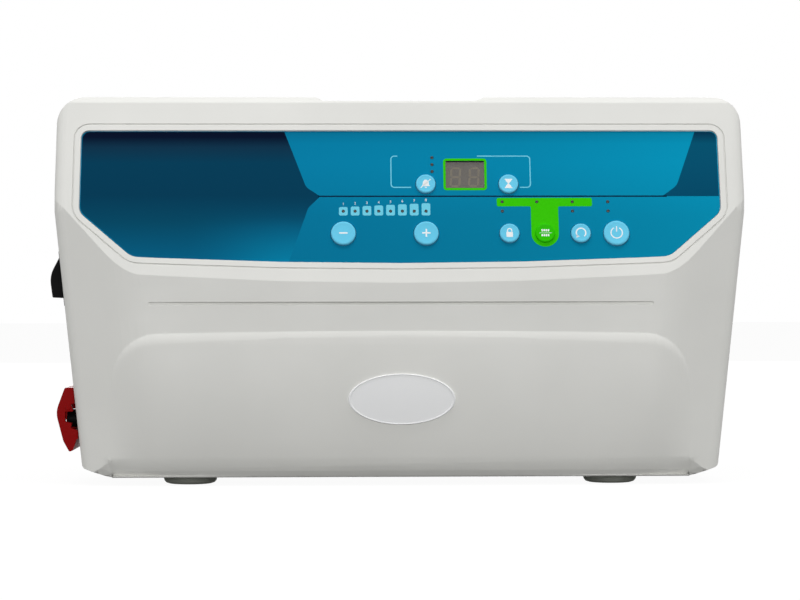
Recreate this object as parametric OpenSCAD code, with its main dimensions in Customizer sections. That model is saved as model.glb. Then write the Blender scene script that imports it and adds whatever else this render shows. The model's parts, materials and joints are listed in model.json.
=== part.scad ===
// Control unit of an alternating-pressure air mattress: moulded case, key panel, pump and valve
// X runs to the right, Y to the back and Z up, with the table at z = 0

/* [Case] */
// Width over the side walls at their widest
case_w = 365.6; // [350:0.2:390]
// Height of the top edge above the table
case_h = 206; // [198:1:216]
// Depth from the front face to the rear wall
case_d = 114; // [110:1:124]
// Wall thickness of the two shells
wall = 3; // [2.4:0.1:3.4]
// Height of the floor of the case above the table
foot_h = 4; // [3:0.5:6]
// Angle that each side wall leans in, below its kink
side_taper = 6; // [4:0.5:7]
// Height of the kink in the side walls
kink_z = 144; // [138:1:150]
// Height of the crease between the lower front and the leaning panel
crease_z = 107; // [104:1:110]
// Angle that the panel leans back
panel_lean = 17; // [14:0.5:18]
// Width of each slanted side band, seen from the front
band_w = 33.8; // [30:0.2:36]
// Angle of the slanted side bands, seen from above
band_angle = 20.5; // [16:0.5:22]
// Radius of the two top corners, seen from the front
top_r = 16; // [12:1:20]
// Distance from the front face to the joint between the front housing and the rear cover
split_d = 76; // [74:1:80]

/* [Bulge] */
// Distance from the raised lower bulge to the side of the case
bulge_margin = 30.8; // [29.8:0.2:36]
// Height of its upper edge above the table
bulge_top = 78; // [74:1:82]
// Distance that it stands out from the front face
bulge_out = 6; // [4:0.5:7]
// Distance from the slot above the bulge to the side of the case
slot_margin = 50.8; // [46:0.4:60]
// Height of the slot's centre line above the table
slot_z = 95.5; // [92:0.5:98]
// Width of the oval badge
badge_w = 56; // [40:1:60]
// Height of the oval badge
badge_h = 26.6; // [20:0.2:28]

/* [Panel] */
// Distance from the blue overlay to the side of the case
overlay_margin = 13.8; // [12.4:0.2:16]
// Top edge of the overlay, up the slope from the crease
overlay_top = 84; // [80:1:86]
// Lower corners of the overlay, up the slope from the crease
overlay_low = 14; // [12:0.5:16]
// Thickness of the overlay
overlay_t = 0.8; // [0.6:0.1:1]
// Depth of the overlay's recess in the housing
recess = 1.4; // [1.2:0.1:1.6]
// Diameter of the small keys
key_small = 10.4; // [8:0.2:11.4]
// Diameter of the soft and firm keys
key_large = 13; // [10:0.2:14]
// Diameter of the power key
key_power = 13.6; // [10:0.2:14]
// Travel of a key
key_travel = 0.6; // [0.4:0.1:0.8]
// Lower row of keys, up the slope from the crease
row_low = 26.5; // [25:0.1:27]
// Upper row of keys, up the slope from the crease
row_high = 54; // [53:0.2:55.6]
// Distance from the power key to the side of the case
key_margin = 69.4; // [68.8:0.1:70]
// Distance between the keys at the right end of the lower row
key_pitch = 18.8; // [18.4:0.1:19]
// Distance from the lock-out key to the display's centre
display_gap = 22.9; // [21.8:0.1:23]
// Distance from the lock-out key to the firm key
firm_gap = 43.8; // [43:0.1:44.4]
// Distance from the firm key to the soft key
soft_gap = 43.6; // [41:0.1:45]
// Centre of the display, up the slope from the crease
display_v = 59.6; // [58.6:0.1:60.6]

/* [Rear] */
// Distance from a hook's pin to the side of the case
hook_margin = 32.8; // [27:0.2:40]
// Reach of a hook from its pin to its tip
hook_reach = 54; // [44:1:58]
// Length of a hook's tip, measured from its upper edge
hook_drop = 44; // [36:1:48]
// Thickness of a hook
hook_t = 7; // [6:0.5:8]
// Diameter of a hook's barrel
barrel_d = 11; // [10:0.5:12]
// Diameter of the hook pins
hook_pin_d = 4; // [3:0.5:5]
// Width of the finger pocket under the grip
grip_w = 88; // [80:1:94]
// Height of the finger pocket
grip_h = 38; // [30:1:42]
// Depth of the finger pocket
grip_d = 30; // [24:1:32]

/* [Left side] */
// Height of the rocker switch above the table
switch_z = 109; // [100:0.5:112]
// Swing of the rocker from one side to the other
rocker_swing = 32; // [24:1:32]
// Height of the hose ports above the table
port_z = 34.3; // [33.9:0.1:34.7]
// Bore of each hose port
port_d = 6; // [5:0.1:6.2]
// Distance between the two hose ports
port_pitch = 14; // [12:0.5:16]
// Length of the collar that stands out round the ports
collar_out = 8; // [6:0.5:8]
// Width of the release latch, front to back
latch_w = 40; // [38:1:44]
// Diameter of the latch pin
latch_pin_d = 2.4; // [2:0.1:2.8]

/* [Pump] */
// Centre of the compressor across the case
pump_x = 8; // [0:1:12]
// Length of the compressor's base plate
base_l = 112; // [104:1:118]
// Width of the compressor's base plate
base_w = 50; // [48:1:54]
// Height of the rubber mounts
mount_h = 10; // [8:1:12]
// Distance between the compressor's two end plates, inside
frame_l = 76; // [72:1:82]
// Diameter of the diaphragms
diaphragm_d = 44; // [40:1:46]
// Stroke of the armature to each side
stroke = 1.5; // [1:0.1:2]
// Thickness of the armature
armature_t = 10; // [8:1:11]
// Outer diameter of the air tubes
tube_d = 8; // [7:0.5:8.5]
// Bore of the air tubes
tube_bore = 5; // [4:0.5:5.5]
// Distance from the distributor valve's centre to the side of the case
valve_margin = 70.8; // [69:0.2:76]
// Diameter of the distributor valve
valve_d = 46; // [42:1:48]
// Height of the valve's mounting plate above the table
valve_z = 62; // [60:1:70]

/* [Feet] */
// Diameter of a rubber foot
foot_d = 28.6; // [24:0.2:30]
// Distance from a foot's centre to the side of the case
foot_margin = 70.8; // [60:0.4:90]

/* [Hidden] */
$fn = 48;

// Clearances
run_gap = 0.3;   // between pieces that move past each other
pin_gap = 0.1;   // round a turning pin
seat_gap = 0.2;  // round a piece that is set into a pocket
slack = 0.15;    // step from one view's outline to the next, so that no two faces coincide
bite = 0.6;      // depth that a boss or rib is rooted in its wall

// Case
hw = case_w / 2;
front_w = 2 * (hw - band_w);
bulge_w = 2 * (hw - bulge_margin);
slot_w = 2 * (hw - slot_margin);
overlay_hw = hw - overlay_margin;
hook_x = hw - hook_margin;
foot_x = hw - foot_margin;
valve_x = -(hw - valve_margin);
bow = 1.4;
hook_out = barrel_d + 1;
front_y = bulge_out - (case_d + bulge_out + hook_out) / 2;
rear_y = front_y + case_d;
split_y = front_y + split_d;
far = 3 * case_w;
band_y = front_y + bow + (hw - front_w / 2) * tan(band_angle);
panel_top_y = front_y + (case_h - crease_z) * tan(panel_lean);
low_corner = [15.5, 5.3];
bulge_arch = 4;
bulge_slope = 45;
bulge_brow = bulge_top + 8.5;
notch_w = 82;
notch_h = 2.3;
floor_z = foot_h + wall;
screw_d = 4;
screw_l = 18;
screw_head = 8;
screw_seat = 4;
boss_d = 9;
boss_in = 13;
boss_l = 26;
low_boss_z = 22;
foot_y = [front_y + 30, split_y + foot_d / 2 + 1.2];
foot_seat = 0.5;

// Panel parts, by their place across (x) and up the slope (v)
power_x = hw - key_margin;
auto_x = power_x - key_pitch;
mode_x = power_x - 2 * key_pitch;
lock_x = power_x - 3 * key_pitch;
firm_x = lock_x - firm_gap;
soft_x = firm_x - soft_gap;
display_x = lock_x - display_gap;
key_places = [
    [firm_x, row_high, key_small], [lock_x, row_high, key_small], [soft_x, row_low, key_large],
    [firm_x, row_low, key_large], [lock_x, row_low, key_small], [mode_x, row_low, key_small],
    [auto_x, row_low, key_small], [power_x, row_low, key_power]
];
overlay_face = overlay_t - recess;
line_out = 3.4;
line_w = 0.6;
window_w = 22;
window_h = 16.6;
window_ledge = 0.7;
key_rise = 1.4;
key_round = [1.5, 0.9];
key_flange = 1;
key_stem_d = 4;
lamp_d = 2;
lamp_row = row_low + 12.5;
lamp_step = 5.2;
lamp_places = concat(
    [for (i = [0 : 7]) [soft_x + i * (firm_x - soft_x) / 7, lamp_row]],
    [for (i = [0 : 2]) [firm_x + 3.5, row_high + 7.2 + i * 3.9]],
    [for (x = [lock_x - 3.5, mode_x - 4, auto_x - 4, power_x - 4]) [x, lamp_row + lamp_step]],
    [for (x = [lock_x - 3.5, auto_x - 4, power_x - 4]) [x, lamp_row]]
);
board_x = [soft_x - 16, power_x + 15];
board_v = [12, 78];
board_t = 1.6;
board_face = -11;
board_inset = 4.5;
board_screw_d = 2.4;
board_holes = [
    for (x = [board_x[0] + board_inset, board_x[1] - board_inset])
        for (v = [board_v[0] + board_inset, board_v[1] - board_inset]) [x, v]
];
switch_h = 3.4;
plunger_h = 0.9;

// Left side
land_x = -(hw - 13.3);
land_top = 57;
land_low = kink_z - (hw + land_x) / tan(side_taper);
latch_y = front_y + 40;
pocket_gap = 1.5;
pocket_y = [latch_y - latch_w / 2 - pocket_gap, latch_y + latch_w / 2 + pocket_gap];
pivot_x = land_x - 3.2;
pivot_z = land_top - 8.6;
knuckle_r = 2.6;
lug_w = 8;
arm_w = 4;
top_bar = 5.4;
low_bar = 19.8;
knob_d = 2.8;
collar_h = port_d + 3;
collar_l = port_pitch + collar_h;
port_depth = collar_out + 10;
port_inner = 22;
flange_t = 3;
flange_rim = 4;
air_bore = 3;
groove_w = 1.8;
switch_y = front_y + 32;
frame_size = [29.2, 16.4];
frame_rim = 0.7;
body_size = [26.4, 13.4];
body_depth = 14;
body_well = 7;
blade = [0.8, 6, 7];
blade_x = 5;
rocker_size = [22.2, 11];
rocker_sink = 0.6;
rocker_foot = 2.6;
rocker_edge = 4.4;
rocker_crest = 7.9;
axle_d = 2.4;

// Rear
hook_y = rear_y + hook_out - barrel_d / 2;
hook_top = 162;
hook_band = 16;
hook_tip = 12;
lug_t = 5.5;
grip_top = case_h - notch_h - 16;
grip_wall = 2.5;
filter_at = [-10, 48];
filter_size = [80, 42];
filter_rim = 5;
foam_t = 6.9;
inlet_in = 70.8;
inlet_at = [hw - inlet_in, 36];
inlet_size = [26.6, 19.4];
inlet_flange = [48, 22, 2.5];
inlet_depth = 18;
inlet_well = 14;
inlet_screw_x = 20;
inlet_screw_d = 3.2;
pin_places = [[-7, -2], [0, 2], [7, -2]];
pin_size = [2, 4, 23];
fuse_x = hw - 120.8;
fuse_z = [26, 48];
fuse_d = 12.4;
fuse_wall = 2;
fuse_l = 26;
main_x = [hw - 128.8, hw - 20.8];
main_z = [60, 144];
main_gap = 5.4;
main_y = rear_y - wall - main_gap - board_t;
main_holes = [
    for (x = [main_x[0] + board_inset, main_x[1] - board_inset])
        for (z = [main_z[0] + board_inset, main_z[1] - board_inset]) [x, z]
];

// Pump and valve
pump_y = front_y + 52;
plate_t = 3;
half_h = 26;
air_gap = 1.5;
base_z = floor_z + mount_h;
axis_z = base_z + plate_t + half_h;
core_h = half_h - armature_t / 2 - air_gap;
core_w = 56;
core_d = 26;
core_back = 6.5;
leg_w = 14;
shaft_d = 6;
washer_d = 20;
washer_t = 2;
diaphragm_t = 2.5;
head_w = 48;
head_l = 24;
head_x = frame_l / 2 + plate_t + diaphragm_t;
outlet_y = pump_y - 8;
nipple_d = tube_bore - 0.1;
nipple_l = 8;
head_top = axis_z + head_w / 2;
valve_y = front_y + 54;
motor_d = 42;
motor_h = 18;
sheet_t = 2;
bracket_foot = 7.5;
cup_h = 16;
cup_floor = 3;
disc_t = 4;
valve_shaft_d = 5;
cap_t = 5;
cap_top = valve_z + cup_h + cap_t;
inlet_off = 10;
outlet_off = 14;
elbow_in = 17;
elbow_x = land_x + elbow_in;
tube_rise = [60, 52, 80, 92, 82, 47];
transformer_in = [64.8, 44];
transformer_at = [hw - transformer_in[0], front_y + transformer_in[1]];
core_size = [20, 46, 42];
core_foot = [24, 54, 2];
bobbin_size = [40, 32, 28];
cap_d = 10;
cap_h = 20;
sink_size = [16, 15, 22];
ribbon_w = 22;
ribbon_t = 1;
ribbon_v = 70;
ribbon_sag = [24, 8, 26, 4];
ribbon_plug = [ribbon_w + 4, 8, 6];
plug_at = [12, 76];
sink_at = [[56, 16], [78, 16]];
chip_at = [12, 52];
chip_size = [20, 2, 20];
relay_at = [50, 48];
relay_size = [20, 9, 14];
coil_at = [80, 52];
coil_size = [16, 12, 14];

// Rounded outlines: each corner is [x, y, radius], and outlines run anticlockwise
function unit(v) = v / norm(v);
function flat(p) = [p[0], p[1]];
function spin(p, a) = [p[0] * cos(a) - p[1] * sin(a), p[0] * sin(a) + p[1] * cos(a)];
function turn(a, b) = atan2(a[0] * b[1] - a[1] * b[0], a * b);

function fillet(a, b, c, r) = r <= 0 ? [b] :
    let(u = unit(a - b), v = unit(c - b), half = acos(u * v) / 2)
    let(m = b + unit(u + v) * r / sin(half), s = b + u * r / tan(half) - m)
    let(e = b + v * r / tan(half) - m, n = max(4, ceil(abs(turn(s, e)) / 12)))
    [for (i = [0 : n]) m + spin(s, turn(s, e) * i / n)];

function rounded(o) = let(n = len(o))
    [for (i = [0 : n - 1]) each fillet(flat(o[(i + n - 1) % n]), flat(o[i]), flat(o[(i + 1) % n]), o[i][2])];

// The same outline with every edge moved inwards by d
function inset(o, d) = let(n = len(o))
    [for (i = [0 : n - 1])
        let(e = unit(flat(o[i]) - flat(o[(i + n - 1) % n])), f = unit(flat(o[(i + 1) % n]) - flat(o[i])))
        let(p = [-e[1], e[0]], q = [-f[1], f[0]], at = flat(o[i]) + (p + q) * d / (1 + p * q))
        let(r = o[i][2] == 0 ? 0 : turn(e, f) > 0 ? max(o[i][2] - d, 0.5) : max(o[i][2] + d, 0.5))
        [at[0], at[1], r]];

function mirrored(o) = [for (i = [len(o) - 1 : -1 : 0]) [-o[i][0], o[i][1], o[i][2]]];
function oval(w, h, n = 40) = [for (i = [0 : n - 1]) [w / 2 * cos(360 * i / n), h / 2 * sin(360 * i / n)]];
function box_outline(w, h, r) =
    [[w / 2, -h / 2, r], [w / 2, h / 2, r], [-w / 2, h / 2, r], [-w / 2, -h / 2, r]];

// Point at share t of a curve that leaves a towards b and reaches d from c
function curve(a, b, c, d, t) =
    pow(1 - t, 3) * a + 3 * t * pow(1 - t, 2) * b + 3 * t * t * (1 - t) * c + pow(t, 3) * d;

// Outlines of the case
function side_x(z) = hw - max(0, kink_z - z) * tan(side_taper);

// From the front, as [x, z]
front_half = [
    [side_x(foot_h) - low_corner[0], foot_h, 18], [side_x(foot_h) + slack, foot_h + low_corner[1], 3],
    [hw + slack, kink_z, 0], [hw + slack, case_h, top_r],
    [notch_w / 2 + 4, case_h, 0], [notch_w / 2, case_h - notch_h, 0]
];
front_outline = concat(front_half, mirrored(front_half));

// From the side, as [y, z]
side_outline = [
    [front_y + 14, foot_h - slack, 6], [rear_y + slack, foot_h - slack, 10],
    [rear_y + slack, case_h + slack, 10], [panel_top_y - slack, case_h + slack, 7],
    [front_y - 2 * slack, crease_z + slack, 3], [front_y - slack, 23, 55]
];

// From above, as [x, y], with the front slightly bowed
plan_half = [[front_w / 2, front_y + bow, 60], [hw, band_y, 8], [hw, rear_y, 12]];
plan_outline = concat([[0, front_y - bow, 6700]], plan_half, mirrored(plan_half));

// From above, of the tapered lower part, measured from its right wall at the kink
taper_outline = [
    [front_w / 2 - hw, front_y + bow, 60], [0, band_y, 8], [0, rear_y, 12],
    [-far, rear_y + 30, 0], [-far, front_y - 40, 0]
];

// Across the leaning panel, as [x, outwards]
panel_section = [
    [-hw - slack, -far, 0], [hw + slack, -far, 0], [hw + slack, 0, 6], [-hw - slack, 0, 6]
];

// The lower bulge, square to its sloping top, from the side and from above
bulge_front = [
    [bulge_w / 2, -far / 6, 0], [bulge_w / 2, 0, 24], [0, bulge_arch, 4500],
    [-bulge_w / 2, 0, 24], [-bulge_w / 2, -far / 6, 0]
];
bulge_side = [
    [front_y + 30, foot_h + slack, 0], [front_y + 30, bulge_brow, 0], [front_y + 3, bulge_brow, 0],
    [front_y - bulge_out, bulge_brow - bulge_out - 6, 24], [front_y - bulge_out, 22, 50],
    [front_y + 10, foot_h + slack, 3]
];
bulge_plan = [
    [-bulge_w / 2 - slack, front_y + 30, 0], [-bulge_w / 2 - slack, front_y - bulge_out - slack, 10],
    [bulge_w / 2 + slack, front_y - bulge_out - slack, 10], [bulge_w / 2 + slack, front_y + 30, 0]
];

// The overlay, as [x, v]
overlay_half = [
    [overlay_hw - 28, overlay_low, 10], [overlay_hw, overlay_low + 24.6, 8], [overlay_hw, overlay_top, 4]
];
overlay_outline = concat([[0, overlay_low - 6.6, 2700]], overlay_half, mirrored(overlay_half));

// Frames that parts are drawn in
module from_front(d = far) { rotate([90, 0, 0]) linear_extrude(d, center = true) children(); }
module from_side(d = far) { rotate([90, 0, 90]) linear_extrude(d, center = true) children(); }
module from_above(d = far) { linear_extrude(d, center = true) children(); }
module on_panel(x = 0, v = 0, w = 0) {
    translate([0, front_y, crease_z]) rotate([90 - panel_lean, 0, 0]) translate([x, v, w]) children();
}
module on_left_wall() {
    translate([-side_x(switch_z), switch_y, switch_z]) rotate([0, -90 - side_taper, 0]) children();
}
module on_land() { translate([land_x, latch_y, port_z]) rotate([0, -90, 0]) children(); }
module on_rear(x, z, y = rear_y) { translate([x, y, z]) rotate([-90, 0, 0]) children(); }
module both_sides() {
    children();
    mirror([1, 0, 0]) children();
}
module block(from, to) { translate(from) cube(to - from); }
module plate(w, h, t, r) { linear_extrude(t) polygon(rounded(box_outline(w, h, r))); }

// Form of the case, with every face moved inwards by g
module case_form(g) {
    intersection() {
        from_front() polygon(rounded(inset(front_outline, g)));
        from_side() polygon(rounded(inset(side_outline, g)));
        from_above() polygon(rounded(inset(plan_outline, g)));
        on_panel() from_front() polygon(rounded(inset(panel_section, g)));
        taper_prism(g);
        mirror([1, 0, 0]) taper_prism(g);
    }
}

module taper_prism(g) {
    translate([hw, 0, kink_z]) rotate([0, side_taper, 0]) from_above()
        polygon(rounded(inset(taper_outline, g)));
}

module bulge_form(g) {
    intersection() {
        translate([0, front_y, bulge_top]) rotate([bulge_slope, 0, 0])
            from_front() polygon(rounded(inset(bulge_front, g)));
        from_side() polygon(rounded(inset(bulge_side, g)));
        from_above() polygon(rounded(inset(bulge_plan, g)));
    }
}

module shell() {
    difference() {
        union() {
            case_form(0);
            bulge_form(0);
        }
        case_form(wall);
        bulge_form(wall);
    }
}

// Places of the case screws, as seen from the rear
module at_case_screws() {
    both_sides() {
        translate([hw - boss_in, split_y, case_h - boss_in]) children();
        translate([side_x(low_boss_z) - boss_in, split_y, low_boss_z]) children();
    }
}

// A boss for one case screw with ribs that root it in the side wall and the top or bottom wall
module rooted_boss(d, from, to, up) {
    translate([0, from, 0]) rotate([-90, 0, 0]) cylinder(d = d, h = to - from);
    block([0, from, -1], [boss_in - wall + bite, to, 1]);
    reach = up > 0 ? boss_in - wall + bite : low_boss_z - floor_z;
    block([-1, from, min(0, up * reach)], [1, to, max(0, up * reach)]);
}

module case_bosses(d, from, to) {
    both_sides() {
        translate([hw - boss_in, split_y, case_h - boss_in]) rooted_boss(d, from, to, 1);
        translate([side_x(low_boss_z) - boss_in, split_y, low_boss_z]) rooted_boss(d, from, to, -1);
    }
}

// Walls of the shallow pocket that holds the hose ports, rooted halfway into the side wall
module land_wall() {
    top = land_top + wall;
    difference() {
        translate([0, (pocket_y[0] + pocket_y[1]) / 2, 0]) from_front(pocket_y[1] - pocket_y[0] + 2 * wall)
            polygon([[land_x + wall, land_low], [land_x + wall, top], [wall / 2 - side_x(top), top],
                [wall / 2 - side_x(land_low), land_low]]);
        land_cut();
    }
}

module land_cut() { block([-far, pocket_y[0], 0], [land_x, pocket_y[1], land_top]); }

module racetrack(l, h) {
    square([h, l - h], center = true);
    for (s = [-1, 1]) translate([0, s * (l - h) / 2]) circle(d = h);
}

module front_housing() {
    color("whitesmoke") difference() {
        union() {
            difference() {
                intersection() {
                    shell();
                    block([-far, front_y - far, -far], [far, split_y, far]);
                }
                land_cut();
            }
            land_wall();
            case_bosses(boss_d, -boss_l, 0);
            for (h = board_holes) on_panel(h[0], h[1], board_face)
                cylinder(d = 7, h = -board_face - wall + bite);
            latch_lug();
        }
        panel_cuts();
        slot_cut();
        on_land() translate([0, 0, -wall - 1]) linear_extrude(wall + 2)
            racetrack(collar_l + 2 * seat_gap, collar_h + 2 * seat_gap);
        on_left_wall() translate([0, 0, -wall - 1]) block(
            [-body_size[0] / 2 - seat_gap, -body_size[1] / 2 - seat_gap, 0],
            [body_size[0] / 2 + seat_gap, body_size[1] / 2 + seat_gap, wall + 2]);
        for (s = [-1, 1]) translate([s * foot_x, foot_y[0], foot_h - 1])
            cylinder(d = foot_d + 2 * seat_gap, h = 1 + foot_seat);
        at_case_screws() rotate([90, 0, 0]) translate([0, 0, -1])
            cylinder(d = screw_d + pin_gap, h = screw_l + 3);
        on_pivot() rotate([90, 0, 0]) cylinder(d = latch_pin_d + pin_gap, h = lug_w + 1, center = true);
    }
}

module latch_lug() {
    on_pivot() {
        rotate([90, 0, 0]) cylinder(r = knuckle_r, h = lug_w, center = true);
        block([0, -lug_w / 2, -knuckle_r], [land_x + 1 - pivot_x, lug_w / 2, knuckle_r]);
    }
}

module panel_cuts() {
    on_panel(0, 0, -recess) linear_extrude(recess + 1) polygon(rounded(inset(overlay_outline, -run_gap)));
    on_panel(0, 0, -0.5) linear_extrude(1.5) difference() {
        polygon(rounded(inset(overlay_outline, -line_out - line_w)));
        polygon(rounded(inset(overlay_outline, -line_out)));
    }
    for (k = key_places) on_panel(k[0], k[1], -wall - 1) cylinder(d = k[2] + 2 * run_gap, h = wall + 1);
    for (l = lamp_places) on_panel(l[0], l[1], -wall - 1)
        cylinder(d = lamp_d + 2 * seat_gap, h = wall + 1, $fn = 16);
    on_panel(display_x, display_v, -wall - 1)
        plate(window_w - 2 * window_ledge, window_h - 2 * window_ledge, wall + 1, 0.5);
    for (h = board_holes) on_panel(h[0], h[1], board_face - 1)
        cylinder(d = board_screw_d + pin_gap, h = 7, $fn = 24);
}

module slot_cut() {
    translate([0, front_y + 1.8, slot_z]) rotate([90, 0, 0]) linear_extrude(20) rotate(90)
        racetrack(slot_w, 1.6);
}

module rear_cover() {
    color("whitesmoke") difference() {
        union() {
            intersection() {
                shell();
                block([-far, split_y, -far], [far, far, far]);
            }
            case_bosses(screw_head + 4, 0, rear_y - split_y - wall + bite);
            lead_in_tabs();
            block([-grip_w / 2 - grip_wall, rear_y - grip_d - grip_wall, grip_top - grip_h - grip_wall],
                [grip_w / 2 + grip_wall, rear_y - 1, grip_top + grip_wall]);
            for (h = main_holes) on_rear(h[0], h[1], main_y + board_t) cylinder(d = 7, h = main_gap + bite);
            hook_lugs();
        }
        translate([0, rear_y, grip_top - grip_h / 2]) rotate([90, 0, 0]) translate([0, 0, -5])
            plate(grip_w, grip_h, grip_d + 5, 6);
        at_case_screws() {
            translate([0, screw_seat, 0]) rotate([-90, 0, 0])
                cylinder(d = screw_head + 2 * run_gap, h = case_d);
            rotate([-90, 0, 0]) translate([0, 0, -1])
                cylinder(d = screw_d + 2 * seat_gap, h = screw_seat + 2);
        }
        on_rear(filter_at[0], filter_at[1], rear_y - wall - 1)
            plate(filter_size[0], filter_size[1], wall + 2, 3);
        on_rear(inlet_at[0], inlet_at[1], rear_y - wall - 1)
            plate(inlet_size[0] + 2 * seat_gap, inlet_size[1] + 2 * seat_gap, wall + 2, 1);
        for (s = [-1, 1]) on_rear(inlet_at[0] + s * inlet_screw_x, inlet_at[1], rear_y - wall - 1)
            cylinder(d = inlet_screw_d, h = wall + 2);
        for (z = fuse_z) on_rear(fuse_x, z, rear_y - wall - 1)
            cylinder(d = fuse_d + 2 * seat_gap, h = wall + 2);
        for (h = main_holes) on_rear(h[0], h[1], main_y)
            cylinder(d = board_screw_d + pin_gap, h = 7, $fn = 24);
        for (s = [-1, 1]) translate([s * foot_x, foot_y[1], foot_h - 1])
            cylinder(d = foot_d + 2 * seat_gap, h = 1 + foot_seat);
        both_sides() translate([hook_x, hook_y, hook_top - 50]) cylinder(d = hook_pin_d + 2 * 0.02, h = 70);
    }
}

// Tabs that lead the cover into the housing, just inside its walls
module lead_in_tabs() {
    tab_t = 2;
    top = case_h - wall;
    for (x = [-110, -60, 60, 110]) {
        block([x - 8, split_y - 4, top - seat_gap - tab_t], [x + 8, split_y + 8, top - seat_gap]);
        block([x - 8, split_y + 0.5, top - seat_gap - tab_t], [x + 8, split_y + 8, top + bite]);
    }
    for (x = [-100, 100]) {
        block([x - 8, split_y - 4, floor_z + seat_gap], [x + 8, split_y + 8, floor_z + seat_gap + tab_t]);
        block([x - 8, split_y + 0.5, floor_z - bite], [x + 8, split_y + 8, floor_z + seat_gap + tab_t]);
    }
}

// Two lugs on the rear wall for each hook pin
module hook_lugs() {
    barrel_z = [hook_top - hook_band - 14, hook_top];
    both_sides() for (z = [barrel_z[0] - run_gap - lug_t, barrel_z[1] + run_gap]) {
        translate([hook_x, hook_y, z]) cylinder(d = barrel_d, h = lug_t);
        block([hook_x - barrel_d / 2, rear_y - 1, z], [hook_x + barrel_d / 2, hook_y, z + lug_t]);
    }
}

module bed_hook() {
    barrel_z = [hook_top - hook_band - 14, hook_top];
    difference() {
        union() {
            translate([hook_x, hook_y, barrel_z[0]]) cylinder(d = barrel_d, h = barrel_z[1] - barrel_z[0]);
            translate([0, hook_y, 0]) from_front(hook_t) polygon(rounded([
                [hook_x, hook_top - hook_band, 0], [hook_x, hook_top, 0],
                [hook_x - hook_reach, hook_top, 9], [hook_x - hook_reach, hook_top - hook_drop, 5.5],
                [hook_x - hook_reach + hook_tip, hook_top - hook_drop, 5.5],
                [hook_x - hook_reach + hook_tip, hook_top - hook_band, 7]]));
            translate([0, hook_y, 0]) from_front(hook_t - 2) polygon([
                [hook_x, barrel_z[0] + 1], [hook_x, hook_top - hook_band + 1],
                [hook_x - 16, hook_top - hook_band + 1]]);
        }
        translate([hook_x, hook_y, barrel_z[0] - 1])
            cylinder(d = hook_pin_d + 2 * pin_gap, h = barrel_z[1] - barrel_z[0] + 2);
    }
}

module right_hook() { color("gainsboro") bed_hook(); }
module left_hook() { color("gainsboro") mirror([1, 0, 0]) bed_hook(); }

module hook_pins() {
    low = hook_top - hook_band - 14 - run_gap - lug_t;
    color("silver") both_sides() translate([hook_x, hook_y, low]) {
        cylinder(d = hook_pin_d, h = hook_top + run_gap + lug_t - low);
        translate([0, 0, hook_top + run_gap + lug_t - low]) cylinder(d = hook_pin_d + 2.4, h = 1.2);
    }
}

module panel_overlay() {
    color([0, 0.48, 0.65]) difference() {
        on_panel(0, 0, -recess) linear_extrude(overlay_t) polygon(rounded(overlay_outline));
        for (k = key_places) on_panel(k[0], k[1], -recess - 1)
            cylinder(d = k[2] + 2 * run_gap, h = overlay_t + 2);
        on_panel(display_x, display_v, -recess - 1)
            plate(window_w + pin_gap, window_h + pin_gap, overlay_t + 2, 1);
    }
}

module display_window() {
    color("dimgray") on_panel(display_x, display_v, -recess) plate(window_w, window_h, overlay_t, 1);
}

// A key: cap with a rounded rim, flange behind the wall and a stem that reaches its switch
module key(i) {
    place = key_places[i];
    d = place[2];
    flange_face = -wall - run_gap / 2;
    stem_end = board_face + switch_h + plunger_h + key_travel + pin_gap;
    top = overlay_face + key_rise;
    color([0.45, 0.85, 1]) on_panel(place[0], place[1], 0) rotate_extrude() polygon(concat(
        [[0, stem_end], [key_stem_d / 2, stem_end], [key_stem_d / 2, flange_face - key_flange],
        [d / 2 + 1.6, flange_face - key_flange], [d / 2 + 1.6, flange_face], [d / 2, flange_face]],
        [for (a = [0 : 15 : 90]) [d / 2 - key_round[0] * (1 - cos(a)), top - key_round[1] * (1 - sin(a))]],
        [[0, top]]));
}

module mute_key() { key(0); }
module cycle_key() { key(1); }
module soft_key() { key(2); }
module firm_key() { key(3); }
module lock_key() { key(4); }
module mode_key() { key(5); }
module auto_key() { key(6); }
module power_key() { key(7); }

// The badge follows the curve of the bulge that it lies on
module oval_badge() {
    color("silver") difference() {
        intersection() {
            translate([0, front_y, 45.5]) from_front(40) polygon(oval(badge_w, badge_h));
            from_side() polygon(rounded(inset(bulge_side, -1)));
        }
        from_side(badge_w * 2) polygon(rounded(bulge_side));
    }
}

module rubber_feet() {
    r = foot_d / 2;
    color("dimgray") for (y = foot_y, s = [-1, 1]) translate([s * foot_x, y, 0])
        rotate_extrude() polygon([[0, 0], [r - 3, 0], [r - 1.4, 0.5], [r - 0.5, 1.5], [r, 3],
            [r, foot_h + foot_seat], [0, foot_h + foot_seat]]);
}

// Display board and what it carries
module display_board() {
    color("darkgreen") difference() {
        on_panel((board_x[0] + board_x[1]) / 2, (board_v[0] + board_v[1]) / 2, board_face - board_t)
            plate(board_x[1] - board_x[0], board_v[1] - board_v[0], board_t, 2);
        for (h = board_holes) on_panel(h[0], h[1], board_face - board_t - 1)
            cylinder(d = board_screw_d + 0.4, h = board_t + 2);
    }
}

module display_module() {
    color([0.3, 0.3, 0.3]) on_panel(display_x, display_v, board_face)
        plate(window_w - 2 * window_ledge - 2 * seat_gap, window_h - 2 * window_ledge - 2 * seat_gap,
            -board_face - recess - 0.3, 0.5);
}

module indicator_lamps() {
    color("darkorange") for (l = lamp_places) on_panel(l[0], l[1], board_face)
        cylinder(d = lamp_d, h = -board_face - recess - pin_gap, $fn = 16);
}

module key_switches() {
    color([0.2, 0.2, 0.2]) for (k = key_places) on_panel(k[0], k[1], board_face) {
        translate([-3, -3, 0]) cube([6, 6, switch_h]);
        cylinder(d = 3.4, h = switch_h + plunger_h);
    }
}

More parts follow.
